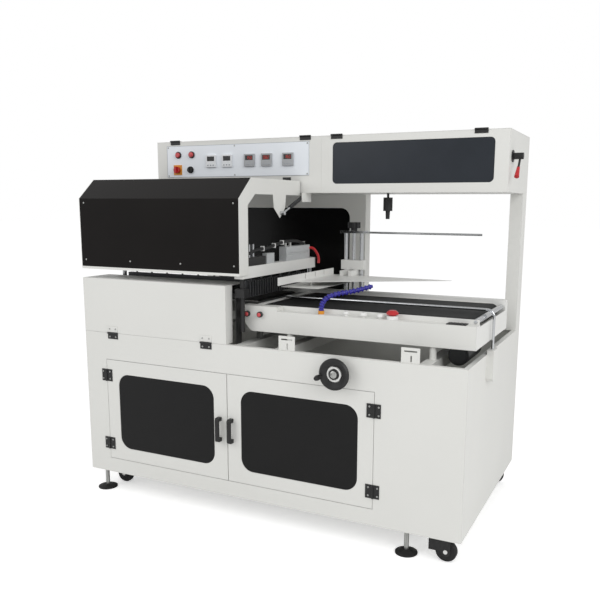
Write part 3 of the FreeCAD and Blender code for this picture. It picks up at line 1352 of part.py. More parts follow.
# ---------------------------------------------------------------- rods, tabs and small parts
def guide_rods():
    """The bent guide rod over the belt with its side bracket, and the film rod behind."""
    bend = d.guide_rod_bend
    leg_x = length + d.guide_rod_out
    run = leg_x - bend - d.guide_rod_left
    straight = cylinder(d.guide_rod_left, d.guide_rod_y, d.guide_rod_z, d.rod_radius, run, "+X")
    elbow = doc.addObject("Part::Torus", "Elbow")
    bind(elbow, "Radius1", bend)
    bind(elbow, "Radius2", d.rod_radius)
    elbow.Angle3 = 90
    put(elbow, leg_x - bend, d.guide_rod_y, d.guide_rod_z - bend, "-Y")
    leg_low = d.side_bracket_high
    leg = cylinder(leg_x, d.guide_rod_y, leg_low, d.rod_radius, d.guide_rod_z - bend - leg_low)
    front = d.side_bracket_front
    back = front + d.side_bracket_width
    notch = d.side_bracket_chamfer
    outline = [(front + notch, d.side_bracket_low), (back - notch, d.side_bracket_low),
               (back, d.side_bracket_low + notch), (back, d.side_bracket_high),
               (front, d.side_bracket_high), (front, d.side_bracket_low + notch)]
    bracket = prism("SideBracket", "YZ", [outline], length, d.side_bracket_depth)
    film_rod = cylinder(d.rear_right, d.film_rod_y, d.film_rod_z, d.rod_radius,
                        length - d.film_rod_inset - d.rear_right, "+X")
    return grouped(straight, elbow, leg, bracket, film_rod)


def rim_tab(left):
    """A slotted tab that stands on the front rim."""
    slot = d.tab_slot_width
    outline = rectangle(left, rim, left + d.tab_width, rim + d.tab_height)
    long_slot = rectangle(left + 2 * slot, rim + d.tab_height - 3 * slot, left + d.tab_width - 2 * slot,
                          rim + d.tab_height - 2 * slot)
    centre = left + d.tab_width / 2
    short_slot = rectangle(centre, rim + slot, centre + slot, rim + d.tab_height / 2)
    return prism("RimTab", "XZ", [outline, long_slot, short_slot], d.tab_offset, d.tab_sheet)


def cable_fittings():
    """The film sensor under the beam and the power cable's gland at the back."""
    neck = cylinder(d.sensor_x, d.sensor_y, d.box_bottom - d.sensor_neck, d.rod_radius, d.sensor_neck)
    low = d.box_bottom - d.sensor_neck - d.sensor_height
    body = cylinder(d.sensor_x, d.sensor_y, low, d.sensor_radius, d.sensor_height)
    tip = cone(d.sensor_x, d.sensor_y, low, d.sensor_radius / 2, d.sensor_tip_radius,
               d.sensor_tip_height, "-Z")
    gland = cylinder(d.gland_x, depth, d.gland_z, d.gland_radius, d.gland_length, "+Y")
    bore = cylinder(d.gland_x, depth, d.gland_z, d.gland_bore, d.gland_length, "+Y")
    return grouped(fused(neck, body, tip), cut(gland, bore))


def ratchet_lever():
    """The roll-tension lever on the beam's right end, leaning to the front, with a long grip."""
    start = length + d.lever_flange_depth + d.flat_gap
    barrel = cylinder(start, d.lever_y, d.lever_z, d.lever_body_radius, d.lever_body_length, "+X")
    lean = math.radians(d.lever_lean.number)
    way = FreeCAD.Vector(0, -math.sin(lean), -math.cos(lean))
    x = start + d.lever_body_length * 0.7
    arm = cylinder(x, d.lever_y, d.lever_z, d.lever_arm_radius, d.lever_arm_length, way)
    grip = cone(x, d.lever_y + d.lever_arm_length * way.y, d.lever_z + d.lever_arm_length * way.z,
                d.grip_radius * 0.6, d.grip_radius, d.grip_length, way)
    return fused(barrel, arm, grip)


stop_neck_radius = d.stop_radius * 0.6


def channel_fittings():
    """Two clamp knobs on the cover's face, two valve knobs and the stop button's base on its ledge."""
    parts = []
    radius = d.cover_knob_radius
    star = [(0, 0), (radius * 0.5, 0), (radius * 0.5, 4), (radius, 5),
            (radius, d.cover_knob_length - 2), (radius - 2, d.cover_knob_length),
            (0, d.cover_knob_length)]
    for x in (d.cover_knob_a, d.cover_knob_b):
        parts.append(turned("CoverKnob", x, d.cover_front, d.cover_knob_z, "-Y", star))
    radius = d.ledge_knob_radius
    valve = [(0, 0), (radius * 0.6, 0), (radius * 0.6, 5), (radius, 6),
             (radius * 0.9, d.ledge_knob_height - 2), (radius * 0.8, d.ledge_knob_height),
             (0, d.ledge_knob_height)]
    for x in (d.ledge_knob_a, d.ledge_knob_b):
        parts.append(turned("ValveKnob", x, d.ledge_knob_y, ledge_z, "+Z", valve))
    base = cylinder(d.stop_x, d.ledge_knob_y, ledge_z, d.stop_base_radius, d.stop_base_height)
    well_depth = d.stop_inset + d.stop_travel + d.flat_gap
    well = cylinder(d.stop_x, d.ledge_knob_y, ledge_z + d.stop_base_height - well_depth,
                    stop_neck_radius + d.flat_gap, well_depth)
    parts.append(cut(base, well))
    return grouped(*parts)


def stop_button():
    """The mushroom-headed stop button, whose neck slides in its base's well."""
    low = ledge_z + d.stop_base_height - d.stop_inset
    profile = [(0, 0), (stop_neck_radius, 0), (stop_neck_radius, d.stop_neck),
               (d.stop_radius, d.stop_neck), (d.stop_radius, d.stop_neck + d.stop_height * 0.45),
               (d.stop_radius * 0.6, d.stop_neck + d.stop_height), (0, d.stop_neck + d.stop_height)]
    return turned("StopButton", d.stop_x, d.ledge_knob_y, low, "+Z", profile)


def air_hose():
    """A segmented air hose that holds its own bend, built as a base cup and bell-shaped links."""
    radius = d.hose_radius
    base_y = d.cover_front + d.cover_depth / 2
    links = [cylinder(d.hose_x, base_y, ledge_z, 1.4 * radius, HOSE_ROUTE[0][1] * radius)]
    for (along, rise), (next_along, next_rise) in zip(HOSE_ROUTE, HOSE_ROUTE[1:]):
        run = next_along - along
        way = FreeCAD.Vector(run, run * HOSE_DRIFT, next_rise - rise)
        links.append(cone(d.hose_x + radius * along, base_y + radius * along * HOSE_DRIFT,
                          ledge_z + radius * rise, radius, radius * 0.72, radius * way.Length, way))
    return fused(*links)


# ---------------------------------------------------------------- model
node("front_panel", front_panel())
node("cabinet_panels", cabinet_panels())
node("lift_frame", lift_frame())
node("upper_housing", upper_housing())
node("front_flap", front_flap())
node("door_left", door("DoorLeft", d.door_start, door_middle))
node("door_right", door("DoorRight", door_middle, door_end))
node("door_left_window", door_window(d.door_start, door_middle))
node("door_right_window", door_window(door_middle, door_end))
node("door_left_fittings", door_fittings(d.door_start, 1, door_middle - d.handle_inset))
node("door_right_fittings", door_fittings(door_end, -1, door_middle + d.handle_inset * 0.6))
node("hinge_leaves", hinge_leaves())
node("base_hardware", base_hardware())
node("levelling_pads", levelling_pads())
for place, (x, y, way) in CASTERS.items():
    node(f"caster_fork_{place}", caster_fork(x, y, way))
    node(f"caster_wheel_{place}", caster_wheel(x, y, way))
node("handwheel", handwheel())
node("conveyor_front_cover", front_cover())
node("conveyor_frame", conveyor_frame())
node("infeed_belt", belt(d.infeed_start, infeed_end, d.belt_front))
node("outfeed_belt", belt(d.outfeed_start, d.outfeed_end, d.outfeed_front))
node("infeed_nose_roller", roller(infeed_places[0], d.belt_front, rail_front))
node("infeed_drive_roller", roller(infeed_places[1], d.belt_front, rail_front))
node("transfer_roller", transfer_roller())
node("drive_motor", drive_motor())
node("air_hose", air_hose())
node("channel_fittings", channel_fittings())
node("stop_button", stop_button())
node("upper_jaw", upper_jaw())
node("jaw_clamp", jaw_clamp())
node("jaw_hardware", jaw_hardware())
node("lower_jaw", lower_jaw())
node("guard_shell", guard_shell())
node("guard_frame", guard_frame())
node("gas_spring_cylinder", gas_spring_cylinder())
node("gas_spring_rod", gas_spring_rod())
node("control_box", control_box())
node("control_lid", lid(d.box_left, d.box_right - d.lid_gap, LID_HINGES[:2]))
node("control_plate", control_plate())
node("panel_fittings", panel_fittings())
node("start_button", start_button())
node("main_switch", rotary_knob("MainSwitch", d.switch_x, wall, d.switch_radius, d.switch_depth,
                                d.switch_grip))
node("selector_switch", rotary_knob("Selector", d.selector_x, d.bezel_depth, d.selector_radius,
                                    d.switch_depth * 0.6, d.switch_grip * 0.6))
node("beam_box", beam_box())
node("beam_lid", lid(d.box_right, length, LID_HINGES[2:]))
node("fixed_windows", fixed_windows())
node("rear_frame", rear_frame())
node("film_stand", film_stand())
node("film_spindle", film_spindle())
node("film_head", film_head())
node("guide_rods", guide_rods())
node("rim_tabs", grouped(rim_tab(d.tab_a_x), rim_tab(length - d.tab_b_inset)))
node("cable_fittings", cable_fittings())
node("ratchet_lever", ratchet_lever())

doc.recompute()
os.makedirs("parts", exist_ok=True)
for thing in doc.Objects:
    if "Invalid" in thing.State or "Error" in thing.State:
        raise RuntimeError(f"{thing.Name} of {thing.Label} did not build: {thing.State}")
for thing in NODES:
    if thing.Shape.isNull() or not thing.Shape.isValid():
        raise RuntimeError(f"{thing.Label} has no valid shape")
for thing in NODES:
    thing.Shape.exportStep(os.path.join("parts", f"{thing.Label}.step"))
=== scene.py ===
import bmesh
import bpy
import math
from mathutils import Matrix, Vector


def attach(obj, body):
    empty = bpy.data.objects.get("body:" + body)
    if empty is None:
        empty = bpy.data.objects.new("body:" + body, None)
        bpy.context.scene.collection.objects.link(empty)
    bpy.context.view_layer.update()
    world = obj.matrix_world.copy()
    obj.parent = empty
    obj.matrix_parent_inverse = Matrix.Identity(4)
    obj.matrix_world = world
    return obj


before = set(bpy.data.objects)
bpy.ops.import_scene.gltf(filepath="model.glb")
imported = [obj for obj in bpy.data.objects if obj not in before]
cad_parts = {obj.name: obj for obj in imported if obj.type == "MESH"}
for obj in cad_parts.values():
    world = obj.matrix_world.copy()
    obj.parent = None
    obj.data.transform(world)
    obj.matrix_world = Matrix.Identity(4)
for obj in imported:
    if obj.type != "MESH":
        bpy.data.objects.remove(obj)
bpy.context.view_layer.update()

# ---- Viewpoint ----
# The machine is seen from its front right corner, a little above the jaw.
# The shift lets the upright edges stay as they are while the machine sits low in the frame.
eye = Vector((1.2978, -2.6297, 1.2066))
yaw, pitch, roll = math.radians(25.92), math.radians(-10.105), math.radians(0.241)
ahead = Vector((-math.sin(yaw) * math.cos(pitch), math.cos(yaw) * math.cos(pitch), math.sin(pitch)))
right = ahead.cross(Vector((0, 0, 1))).normalized()
turn = Matrix((right, right.cross(ahead), -ahead)).transposed().to_4x4()
camera = bpy.data.objects.new("camera", bpy.data.cameras.new("camera"))
camera.data.sensor_width = 36
camera.data.lens = 42.82
camera.data.shift_x = -0.0182
camera.data.shift_y = 0.0543
camera.data.clip_end = 100
camera.matrix_world = Matrix.Translation(eye) @ turn @ Matrix.Rotation(roll, 4, "Z")
bpy.context.scene.collection.objects.link(camera)
bpy.context.scene.camera = camera
bpy.context.scene.view_settings.view_transform = "Standard"


# ---- Studio light and floor ----
# Two large soft boxes and an even white room, at a level where a colour renders about as written.
# The floor is plain white board that keeps only the machine's soft shadow.
def shade(hex_colour):
    """An sRGB hex colour as the linear colour that the shaders work in."""
    parts = [int(hex_colour[i:i + 2], 16) / 255 for i in (1, 3, 5)]
    return tuple(c / 12.92 if c <= 0.04045 else ((c + 0.055) / 1.055) ** 2.4 for c in parts) + (1.0,)


def add(tree, kind, inputs=None, **settings):
    """Adds one shader node with its settings; an input is a value or another node's output."""
    made = tree.nodes.new(kind)
    for name, value in settings.items():
        setattr(made, name, value)
    for name, value in (inputs or {}).items():
        if isinstance(value, bpy.types.NodeSocket):
            tree.links.new(value, made.inputs[name])
        else:
            made.inputs[name].default_value = value
    return made


world = bpy.data.worlds.new("white_room")
bpy.context.scene.world = world
world.use_nodes = True
room = world.node_tree
room.nodes.clear()
ray = add(room, "ShaderNodeLightPath")
lit = add(room, "ShaderNodeBackground", {"Color": shade("#FFFFFF"), "Strength": 0.62})
seen = add(room, "ShaderNodeBackground", {"Color": shade("#FFFFFF"), "Strength": 1.0})
mixed = add(room, "ShaderNodeMixShader",
            {0: ray.outputs["Is Camera Ray"], 1: lit.outputs[0], 2: seen.outputs[0]})
add(room, "ShaderNodeOutputWorld", {"Surface": mixed.outputs[0]})

for name, place, aim, size, power in (
        ("right_box", (4.2, -2.6, 3.2), (0.2, 0.0, 0.7), 3.0, 95),
        ("left_box", (-3.0, -4.5, 3.4), (0.0, 0.0, 0.8), 3.4, 60)):
    lamp = bpy.data.lights.new(name, "AREA")
    lamp.size = size
    lamp.energy = power
    holder = bpy.data.objects.new(name, lamp)
    holder.location = place
    holder.rotation_euler = (Vector(aim) - Vector(place)).to_track_quat("-Z", "Y").to_euler()
    bpy.context.scene.collection.objects.link(holder)

board = bpy.data.materials.new("white_board")
board.use_nodes = True
tree = board.node_tree
tree.nodes.clear()
path = add(tree, "ShaderNodeLightPath")
matt = add(tree, "ShaderNodeBsdfDiffuse", {"Color": shade("#FDFDFD")})
glow = add(tree, "ShaderNodeEmission", {"Color": shade("#FFFFFF"), "Strength": 0.42})
both = add(tree, "ShaderNodeAddShader", {0: matt.outputs[0], 1: glow.outputs[0]})
pick = add(tree, "ShaderNodeMixShader",
           {0: path.outputs["Is Camera Ray"], 1: matt.outputs[0], 2: both.outputs[0]})
add(tree, "ShaderNodeOutputMaterial", {"Surface": pick.outputs[0]})
floor_mesh = bpy.data.meshes.new("floor")
floor_mesh.from_pydata([(-40, -40, 0), (40, -40, 0), (40, 40, 0), (-40, 40, 0)], [], [(0, 1, 2, 3)])
floor = bpy.data.objects.new("floor", floor_mesh)
floor.data.materials.append(board)
bpy.context.scene.collection.objects.link(floor)


# ---- Cabinet, overhead box and other coated sheets ----
# Folded 2 mm steel sheet, powder coated in a warm light grey with a fine orange-peel skin.
# The coat is satin, with a soft highlight along each folded edge.
def powder_coat(name, colour, rough=0.42):
    """Baked powder coat: a satin film with a fine orange peel and faint cloudy variation."""
    material = bpy.data.materials.new(name)
    material.use_nodes = True
    tree = material.node_tree
    tree.nodes.clear()
    place = add(tree, "ShaderNodeTexCoord")
    cloud = add(tree, "ShaderNodeTexNoise", {"Vector": place.outputs["Object"], "Scale": 3.0, "Detail": 3.0})
    tint = add(tree, "ShaderNodeMix", {"Factor": cloud.outputs["Fac"], "A": shade(colour[0]),
                                       "B": shade(colour[1])}, data_type="RGBA")
    peel = add(tree, "ShaderNodeTexNoise", {"Vector": place.outputs["Object"], "Scale": 420.0, "Detail": 2.0})
    edge = add(tree, "ShaderNodeBevel", {"Radius": 0.0018}, samples=4)
    skin = add(tree, "ShaderNodeBump", {"Strength": 0.06, "Distance": 0.0004, "Height": peel.outputs["Fac"],
                                        "Normal": edge.outputs["Normal"]})
    coat = add(tree, "ShaderNodeBsdfPrincipled",
               {"Base Color": tint.outputs["Result"], "Roughness": rough, "Specular IOR Level": 0.4,
                "Normal": skin.outputs["Normal"]})
    add(tree, "ShaderNodeOutputMaterial", {"Surface": coat.outputs[0]})
    return material


def dress(material, *names):
    """Gives a frame part its material."""
    for name in names:
        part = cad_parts[name]
        part.data.materials.clear()
        part.data.materials.append(material)


cabinet_coat = powder_coat("powder_coat_warm_grey", ("#DCDCD8", "#E2E2DE"))
dress(cabinet_coat, "front_panel", "cabinet_panels", "upper_housing", "front_flap", "door_left",
      "door_right", "control_box", "control_lid", "beam_box", "beam_lid", "rear_frame",
      "conveyor_front_cover", "guard_frame", "rim_tabs", "lift_frame")


# The frame's origin, on the floor under the machine, from the cabinet's front left bottom corner in mm.
ORIGIN_X, ORIGIN_Y, ORIGIN_Z = 820, 413, -95
MM = 1000


def at(x, y, z):
    """A place measured in millimetres from the cabinet's front left bottom corner."""
    return Vector(((x - ORIGIN_X) / MM, (y - ORIGIN_Y) / MM, (z - ORIGIN_Z) / MM))


def finish_of(name, colours, rough, scale=60.0, metal=0.0, bump=0.15, depth=0.0003, coat=0.0,
              specular=0.5, stretch=(1, 1, 1)):
    """A surface whose colour and roughness wander with a fine grain of its own scale."""
    material = bpy.data.materials.new(name)
    material.use_nodes = True
    tree = material.node_tree
    tree.nodes.clear()
    place = add(tree, "ShaderNodeTexCoord")
    laid = add(tree, "ShaderNodeMapping", {"Vector": place.outputs["Object"], "Scale": stretch})
    grain = add(tree, "ShaderNodeTexNoise", {"Vector": laid.outputs[0], "Scale": scale, "Detail": 4.0})
    tint = add(tree, "ShaderNodeMix", {"Factor": grain.outputs["Fac"], "A": shade(colours[0]),
                                       "B": shade(colours[1])}, data_type="RGBA")
    wear = add(tree, "ShaderNodeMapRange", {"Value": grain.outputs["Fac"], "To Min": rough - 0.05,
                                            "To Max": rough + 0.07})
    edge = add(tree, "ShaderNodeBevel", {"Radius": 0.0008}, samples=4)
    skin = add(tree, "ShaderNodeBump", {"Strength": bump, "Distance": depth, "Height": grain.outputs["Fac"],
                                        "Normal": edge.outputs["Normal"]})
    surface = add(tree, "ShaderNodeBsdfPrincipled",
                  {"Base Color": tint.outputs["Result"], "Roughness": wear.outputs["Result"],
                   "Metallic": metal, "Coat Weight": coat, "Specular IOR Level": specular,
                   "Normal": skin.outputs["Normal"]})
    add(tree, "ShaderNodeOutputMaterial", {"Surface": surface.outputs[0]})
    return material


def dress_parts(name, materials, chooser):
    """Gives each face of a frame part the material that the chooser picks from its middle in millimetres."""
    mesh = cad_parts[name].data
    mesh.materials.clear()
    for material in materials:
        mesh.materials.append(material)
    for face in mesh.polygons:
        x, y, z = face.center
        face.material_index = chooser(x * MM + ORIGIN_X, y * MM + ORIGIN_Y, z * MM + ORIGIN_Z)


def piece(name, mesh, material, body):
    """Links a finished mesh as a piece that rides on a body."""
    made = bpy.data.objects.new(name, mesh)
    mesh.materials.append(material)
    bpy.context.scene.collection.objects.link(made)
    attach(made, body)
    return made


def turned_mesh(name, spots, profile, way, around=24):
    """One mesh of equal turned pieces: a half profile of (radius, height) in mm at each spot, along a way."""
    made = bmesh.new()
    ways = way if isinstance(way, list) else [way] * len(spots)
    for spot, facing in zip(spots, ways):
        lean = Vector(facing).to_track_quat("Z", "Y").to_matrix().to_4x4()
        rings = []
        for radius, height in profile:
            if radius <= 0:
                rings.append([made.verts.new((0, 0, height / 1000))])
                continue
            ring = []
            for step in range(around):
                angle = 2 * math.pi * step / around
                ring.append(made.verts.new((radius / 1000 * math.cos(angle), radius / 1000 * math.sin(angle),
                                            height / 1000)))
            rings.append(ring)
        for low, high in zip(rings, rings[1:]):
            for step in range(around):
                following = (step + 1) % around
                if len(low) == 1:
                    made.faces.new((low[0], high[following], high[step]))
                elif len(high) == 1:
                    made.faces.new((low[step], low[following], high[0]))
                else:
                    made.faces.new((low[step], low[following], high[following], high[step]))
        fresh = [vert for ring in rings for vert in ring]
        bmesh.ops.transform(made, matrix=Matrix.Translation(at(*spot)) @ lean, verts=fresh)
    bmesh.ops.recalc_face_normals(made, faces=made.faces)
    mesh = bpy.data.meshes.new(name)
    made.to_mesh(mesh)
    made.free()
    for face in mesh.polygons:
        face.use_smooth = len(face.vertices) == 4
    mesh.set_sharp_from_angle(angle=math.radians(35))
    return mesh


def bars_mesh(name, bars, bevel=0.6):
    """One mesh of softly bevelled bars, each from its low corner to its high corner in mm."""
    made = bmesh.new()
    for low, high in bars:
        fresh = bmesh.ops.create_cube(made, size=1.0)["verts"]
        size = Vector(high) - Vector(low)
        middle = (Vector(high) + Vector(low)) / 2
        grow = Matrix.Diagonal((size.x / 1000, size.y / 1000, size.z / 1000, 1))
        bmesh.ops.transform(made, matrix=Matrix.Translation(at(*middle)) @ grow, verts=fresh)
    bmesh.ops.bevel(made, geom=list(made.edges), offset=bevel / 1000, segments=2, affect="EDGES",
                    profile=0.5, clamp_overlap=True)
    mesh = bpy.data.meshes.new(name)
    made.to_mesh(mesh)
    made.free()
    return mesh


def tube_mesh(name, route, radius, around=16):
    """The mesh of a round hose along a smooth route of places in mm."""
    line = bpy.data.curves.new(name, "CURVE")
    line.dimensions = "3D"
    line.bevel_depth = radius / 1000
    line.bevel_resolution = around // 4
    line.resolution_u = 8
    line.use_fill_caps = True
    run = line.splines.new("BEZIER")
    run.bezier_points.add(len(route) - 1)
    for point, spot in zip(run.bezier_points, route):
        point.co = at(*spot)
        point.handle_left_type = point.handle_right_type = "AUTO"
    holder = bpy.data.objects.new(name + "_line", line)
    bpy.context.scene.collection.objects.link(holder)
    bpy.context.view_layer.update()
    mesh = bpy.data.meshes.new_from_object(holder)
    bpy.data.objects.remove(holder)
    bpy.data.curves.remove(line)
    for face in mesh.polygons:
        face.use_smooth = True
    return mesh


SCREW_HEAD = [(0, 0), (3.6, 0), (3.6, 0.8), (2.9, 1.8), (1.6, 2.2), (1.6, 1.2), (0, 1.2)]
zinc = finish_of("zinc_plated_steel", ("#A9AAA8", "#C2C3C0"), 0.34, scale=240.0, metal=1.0)
black_nylon = finish_of("black_nylon", ("#141414", "#1C1C1D"), 0.45, scale=320.0, bump=0.25)

# ---- Doors: windows, handles and hinges ----
# Each folded door holds a smoked acrylic sheet behind a rounded cut-out.
# The bow handles and hinge leaves are black nylon, held by countersunk screws.
smoked = finish_of("smoked_acrylic", ("#0D0D0E", "#131313"), 0.2, scale=9.0, bump=0.02, specular=0.25)
dress(smoked, "door_left_window", "door_right_window")
dress(black_nylon, "door_left_fittings", "door_right_fittings", "hinge_leaves")


def leaf_screws(hinge_x, side):
    """The screw places of a door's two moving hinge leaves."""
    return [(hinge_x + side * 17, -2, 61 + rise + step) for rise in (66, 358) for step in (-15, 15)]


piece("left_door_screws",
      turned_mesh("left_door_screws", leaf_screws(105, 1), SCREW_HEAD, (0, -1, 0), 12),
      zinc, "left_door")
piece("right_door_screws",
      turned_mesh("right_door_screws", leaf_screws(1283, -1), SCREW_HEAD, (0, -1, 0), 12),
      zinc, "right_door")
fixed_spots = leaf_screws(105, -1) + leaf_screws(1283, 1)
fixed_spots += [(centre + step, -2, 582) for centre in (146, 598) for step in (-15, 15)]
piece("fixed_leaf_screws", turned_mesh("fixed_leaf_screws", fixed_spots, SCREW_HEAD, (0, -1, 0), 12),
      zinc, "frame")
flap_spots = [(centre + step, -2, 614) for centre in (146, 598) for step in (-15, 15)]
piece("flap_leaf_screws", turned_mesh("flap_leaf_screws", flap_spots, SCREW_HEAD, (0, -1, 0), 12),
      zinc, "flap")
lid_y = 509
for body, centres in (("control_box_lid", (121, 773)), ("beam_box_lid", (914, 1495))):
    spots = [(centre + step, lid_y, 1392) for centre in centres for step in (-15, 15)]
    name = body + "_screws"
    piece(name, turned_mesh(name, spots, SCREW_HEAD, (0, 0, 1), 12), zinc, body)

# ---- Feet and casters ----
# Domed moulded pads on threaded studs with lock nuts carry the machine.
# Swivel casters with black pressed housings and rubber tyres stand just off the pads.
pad_rubber = finish_of("pad_rubber", ("#101010", "#191919"), 0.6, scale=180.0, bump=0.3)
tyre = finish_of("tyre_rubber", ("#131313", "#1B1B1B"), 0.7, scale=260.0, bump=0.4)
dress(pad_rubber, "levelling_pads")
dress(zinc, "base_hardware")
hub_white = finish_of("moulded_white_cap", ("#D9D9D7", "#E6E6E4"), 0.4, scale=90.0)
AXLE_CAP = [(7.5, 0), (7.5, 1.2), (6.5, 2.4), (3.2, 3.0), (0, 3.2)]
for place, x, y in (("front_left", 71, 130), ("rear_left", 71, 770), ("front_right", 1539.5, 50),
                    ("rear_right", 1539.5, 850)):
    dress(black_nylon, "caster_fork_" + place)
    dress(tyre, "caster_wheel_" + place)
    for label, way, face in (("outer", -1, -16.3), ("inner", 1, 16.3)):
        name = "axle_cap_" + label + "_" + place
        piece(name, turned_mesh(name, [(x, y + face, -57.5)], AXLE_CAP, (0, way, 0), 20), hub_white,
              "caster_" + place)
thread = [(8.1, 0)]
for turn_number in range(12):
    thread += [(8.1, turn_number * 5 + 1), (9.1, turn_number * 5 + 2.5), (8.1, turn_number * 5 + 4)]
thread.append((8.1, 60))
piece("stud_threads", turned_mesh("stud_threads", [(x, y, -74) for x in (41, 1397) for y in (45, 855)],
                                  thread, (0, 0, 1), 20), zinc, "frame")

# ---- Height handwheel ----
# A moulded black wheel turns the lift screws; its crank knob spins on a pin.
# A white ring marks the dial and a bright screw cap closes the hub.
dress(black_nylon, "handwheel")
dial_ring = [(20, 6.8), (20, 9), (23, 9.8), (26.5, 9), (26.5, 6.8)]
piece("handwheel_ring",
      turned_mesh("handwheel_ring", [(1147, -30, 541)], dial_ring, (0, -1, 0), 48), hub_white,
      "height_wheel")
piece("handwheel_hub_cap", turned_mesh("handwheel_hub_cap", [(1147, -43, 541)],
                                       [(13, -0.2), (13, 2), (11, 3.4), (4, 3.8), (4, 2.6), (0, 2.6)],
                                       (0, -1, 0), 32), zinc, "height_wheel")

# ---- Conveyor: frame, belts and rollers ----
# Flat-bar rails and a folded rear cover carry two rubber belts over steel rollers.
# The small polished roller at the infeed end passes the product on to the belt.
frame_coat = powder_coat("powder_coat_white", ("#E0E0DD", "#E6E6E3"))
dress(frame_coat, "conveyor_frame", "upper_jaw")
belt_rubber = finish_of("woven_belt_rubber", ("#0E0F10", "#191A1B"), 0.62, scale=900.0, bump=0.5,
                        specular=0.3)
dress(belt_rubber, "infeed_belt", "outfeed_belt")
polished = finish_of("polished_chrome", ("#C4C6C9", "#D4D6D8"), 0.14, scale=40.0, metal=1.0, bump=0.02)
ground_steel = finish_of("ground_steel", ("#9C9D9D", "#B9BABA"), 0.3, scale=120.0, metal=1.0,
                         stretch=(1, 12, 1))
dress(ground_steel, "infeed_nose_roller", "infeed_drive_roller")
dress(polished, "transfer_roller", "film_stand", "gas_spring_rod")
motor_paint = finish_of("motor_enamel", ("#17181A", "#222325"), 0.4, scale=150.0, bump=0.3)
dress(motor_paint, "drive_motor", "gas_spring_cylinder")

# ---- Front cover: clamp knobs, valve knobs, slot plate and stop button ----
# Two black clamp knobs with pink caps lock the cover; the ledge carries the air valves.
# The mushroom stop button stands on a white base beside a slotted black end grip.
white_plastic = finish_of("white_plastic", ("#DFDFDD", "#ECECEA"), 0.32, scale=80.0)
red_plastic = finish_of("red_moulding", ("#B3161C", "#C21B22"), 0.3, scale=70.0, coat=0.3)
pink_plastic = finish_of("pinkish_red_moulding", ("#C4484C", "#D05A5C"), 0.35, scale=70.0)
amber_plastic = finish_of("amber_moulding", ("#D98A1E", "#E09A2C"), 0.38, scale=70.0)


def channel_part(x, y, z):
    """Black for the clamp knobs on the face, white for what stands on the ledge."""
    return 0 if y < 93 else 1


dress_parts("channel_fittings", [black_nylon, white_plastic], channel_part)
dress(red_plastic, "stop_button")
piece("clamp_knob_caps", turned_mesh("clamp_knob_caps", [(732, 76, 707), (786, 76, 707)],
                                     [(8, -0.2), (8, 1), (6.5, 2), (0, 2.4)], (0, -1, 0), 28),
      pink_plastic, "conveyor")
piece("ledge_valve_knob", turned_mesh("ledge_valve_knob", [(1124, 114, 722)],
                                      [(0, 0), (7, 0), (7, 5), (10, 7), (10, 13), (8, 16), (0, 16.5)],
                                      (0, 0, 1), 28), white_plastic, "conveyor")
slot_plate = [((1495, 96, 721.9), (1562, 134, 725))]
slot_plate += [((1503 + 12 * number, 103, 725), (1508 + 12 * number, 127, 726.6)) for number in range(5)]
piece("ledge_slot_plate", bars_mesh("ledge_slot_plate", slot_plate), black_nylon, "conveyor")

# ---- Segmented air hose ----
# Bell-shaped acetal links snap together and hold the bend that they are set to.
# The first link screws into an amber base cup on the ledge.
link_blue = finish_of("blue_acetal", ("#241F86", "#2E2898"), 0.28, scale=60.0, coat=0.2)


def hose_part(x, y, z):
    """Amber for the base cup and blue for the links."""
    return 0 if z < 735 else 1


dress_parts("air_hose", [amber_plastic, link_blue], hose_part)
HOSE_STOPS = ((0, 1.5), (0.1, 3.8), (0.9, 5.9), (2.5, 7.7), (4.9, 8.8), (7.8, 9.5), (10.9, 10),
              (13.9, 10.7), (17, 11.6), (20, 12.6))
HOSE_RADIUS, HOSE_DRIFT = 8, 0.62
HOSE_FOOT = (1026, 115, 722)
bead_spots, bead_ways = [], []
for (along, rise), (next_along, next_rise) in zip(HOSE_STOPS, HOSE_STOPS[1:]):
    for share in (0.0, 0.5):
        run = along + (next_along - along) * share
        up = rise + (next_rise - rise) * share
        bead_spots.append((HOSE_FOOT[0] + HOSE_RADIUS * run, HOSE_FOOT[1] + HOSE_RADIUS * run * HOSE_DRIFT,
                           HOSE_FOOT[2] + HOSE_RADIUS * up))
        bead_ways.append((next_along - along, (next_along - along) * HOSE_DRIFT, next_rise - rise))
bead = [(6.4, 0), (9.2, 0.8), (10.2, 2.6), (10.2, 4.4), (9.2, 6.2), (6.4, 8.4)]
piece("air_hose_beads", turned_mesh("air_hose_beads", bead_spots, bead, bead_ways, 20), link_blue,
      "conveyor")

# ---- Sealing jaws ----
# The white jaw bar slides on polished posts and carries the ribbed film clamp with its knife.
# On top sit the black terminal block, the light grey valve and actuator, and their hoses.
clamp_dark = finish_of("anodised_clamp", ("#4B4C4E", "#5E5F61"), 0.4, scale=140.0, metal=0.9)
grey_cast = finish_of("light_grey_casting", ("#B9BCBD", "#CBCDCE"), 0.38, scale=110.0, metal=0.3)
dress(clamp_dark, "jaw_clamp")


def lower_part(x, y, z):
    """The front post's bearing is black and the lower jaw is ground steel."""
    return 1 if y < 100 else 0


dress_parts("lower_jaw", [ground_steel, black_nylon], lower_part)


def jaw_part(x, y, z):
    """Posts below the bar, the terminal block, the steel studs and the grey valve and actuator."""
    if z < 843:
        return 1 if y < 100 else 0
    if z < 885.5:
        return 1 if y < 214 else 2
    if y < 214:
        return 1 if z < 918.5 else 0
    return 2


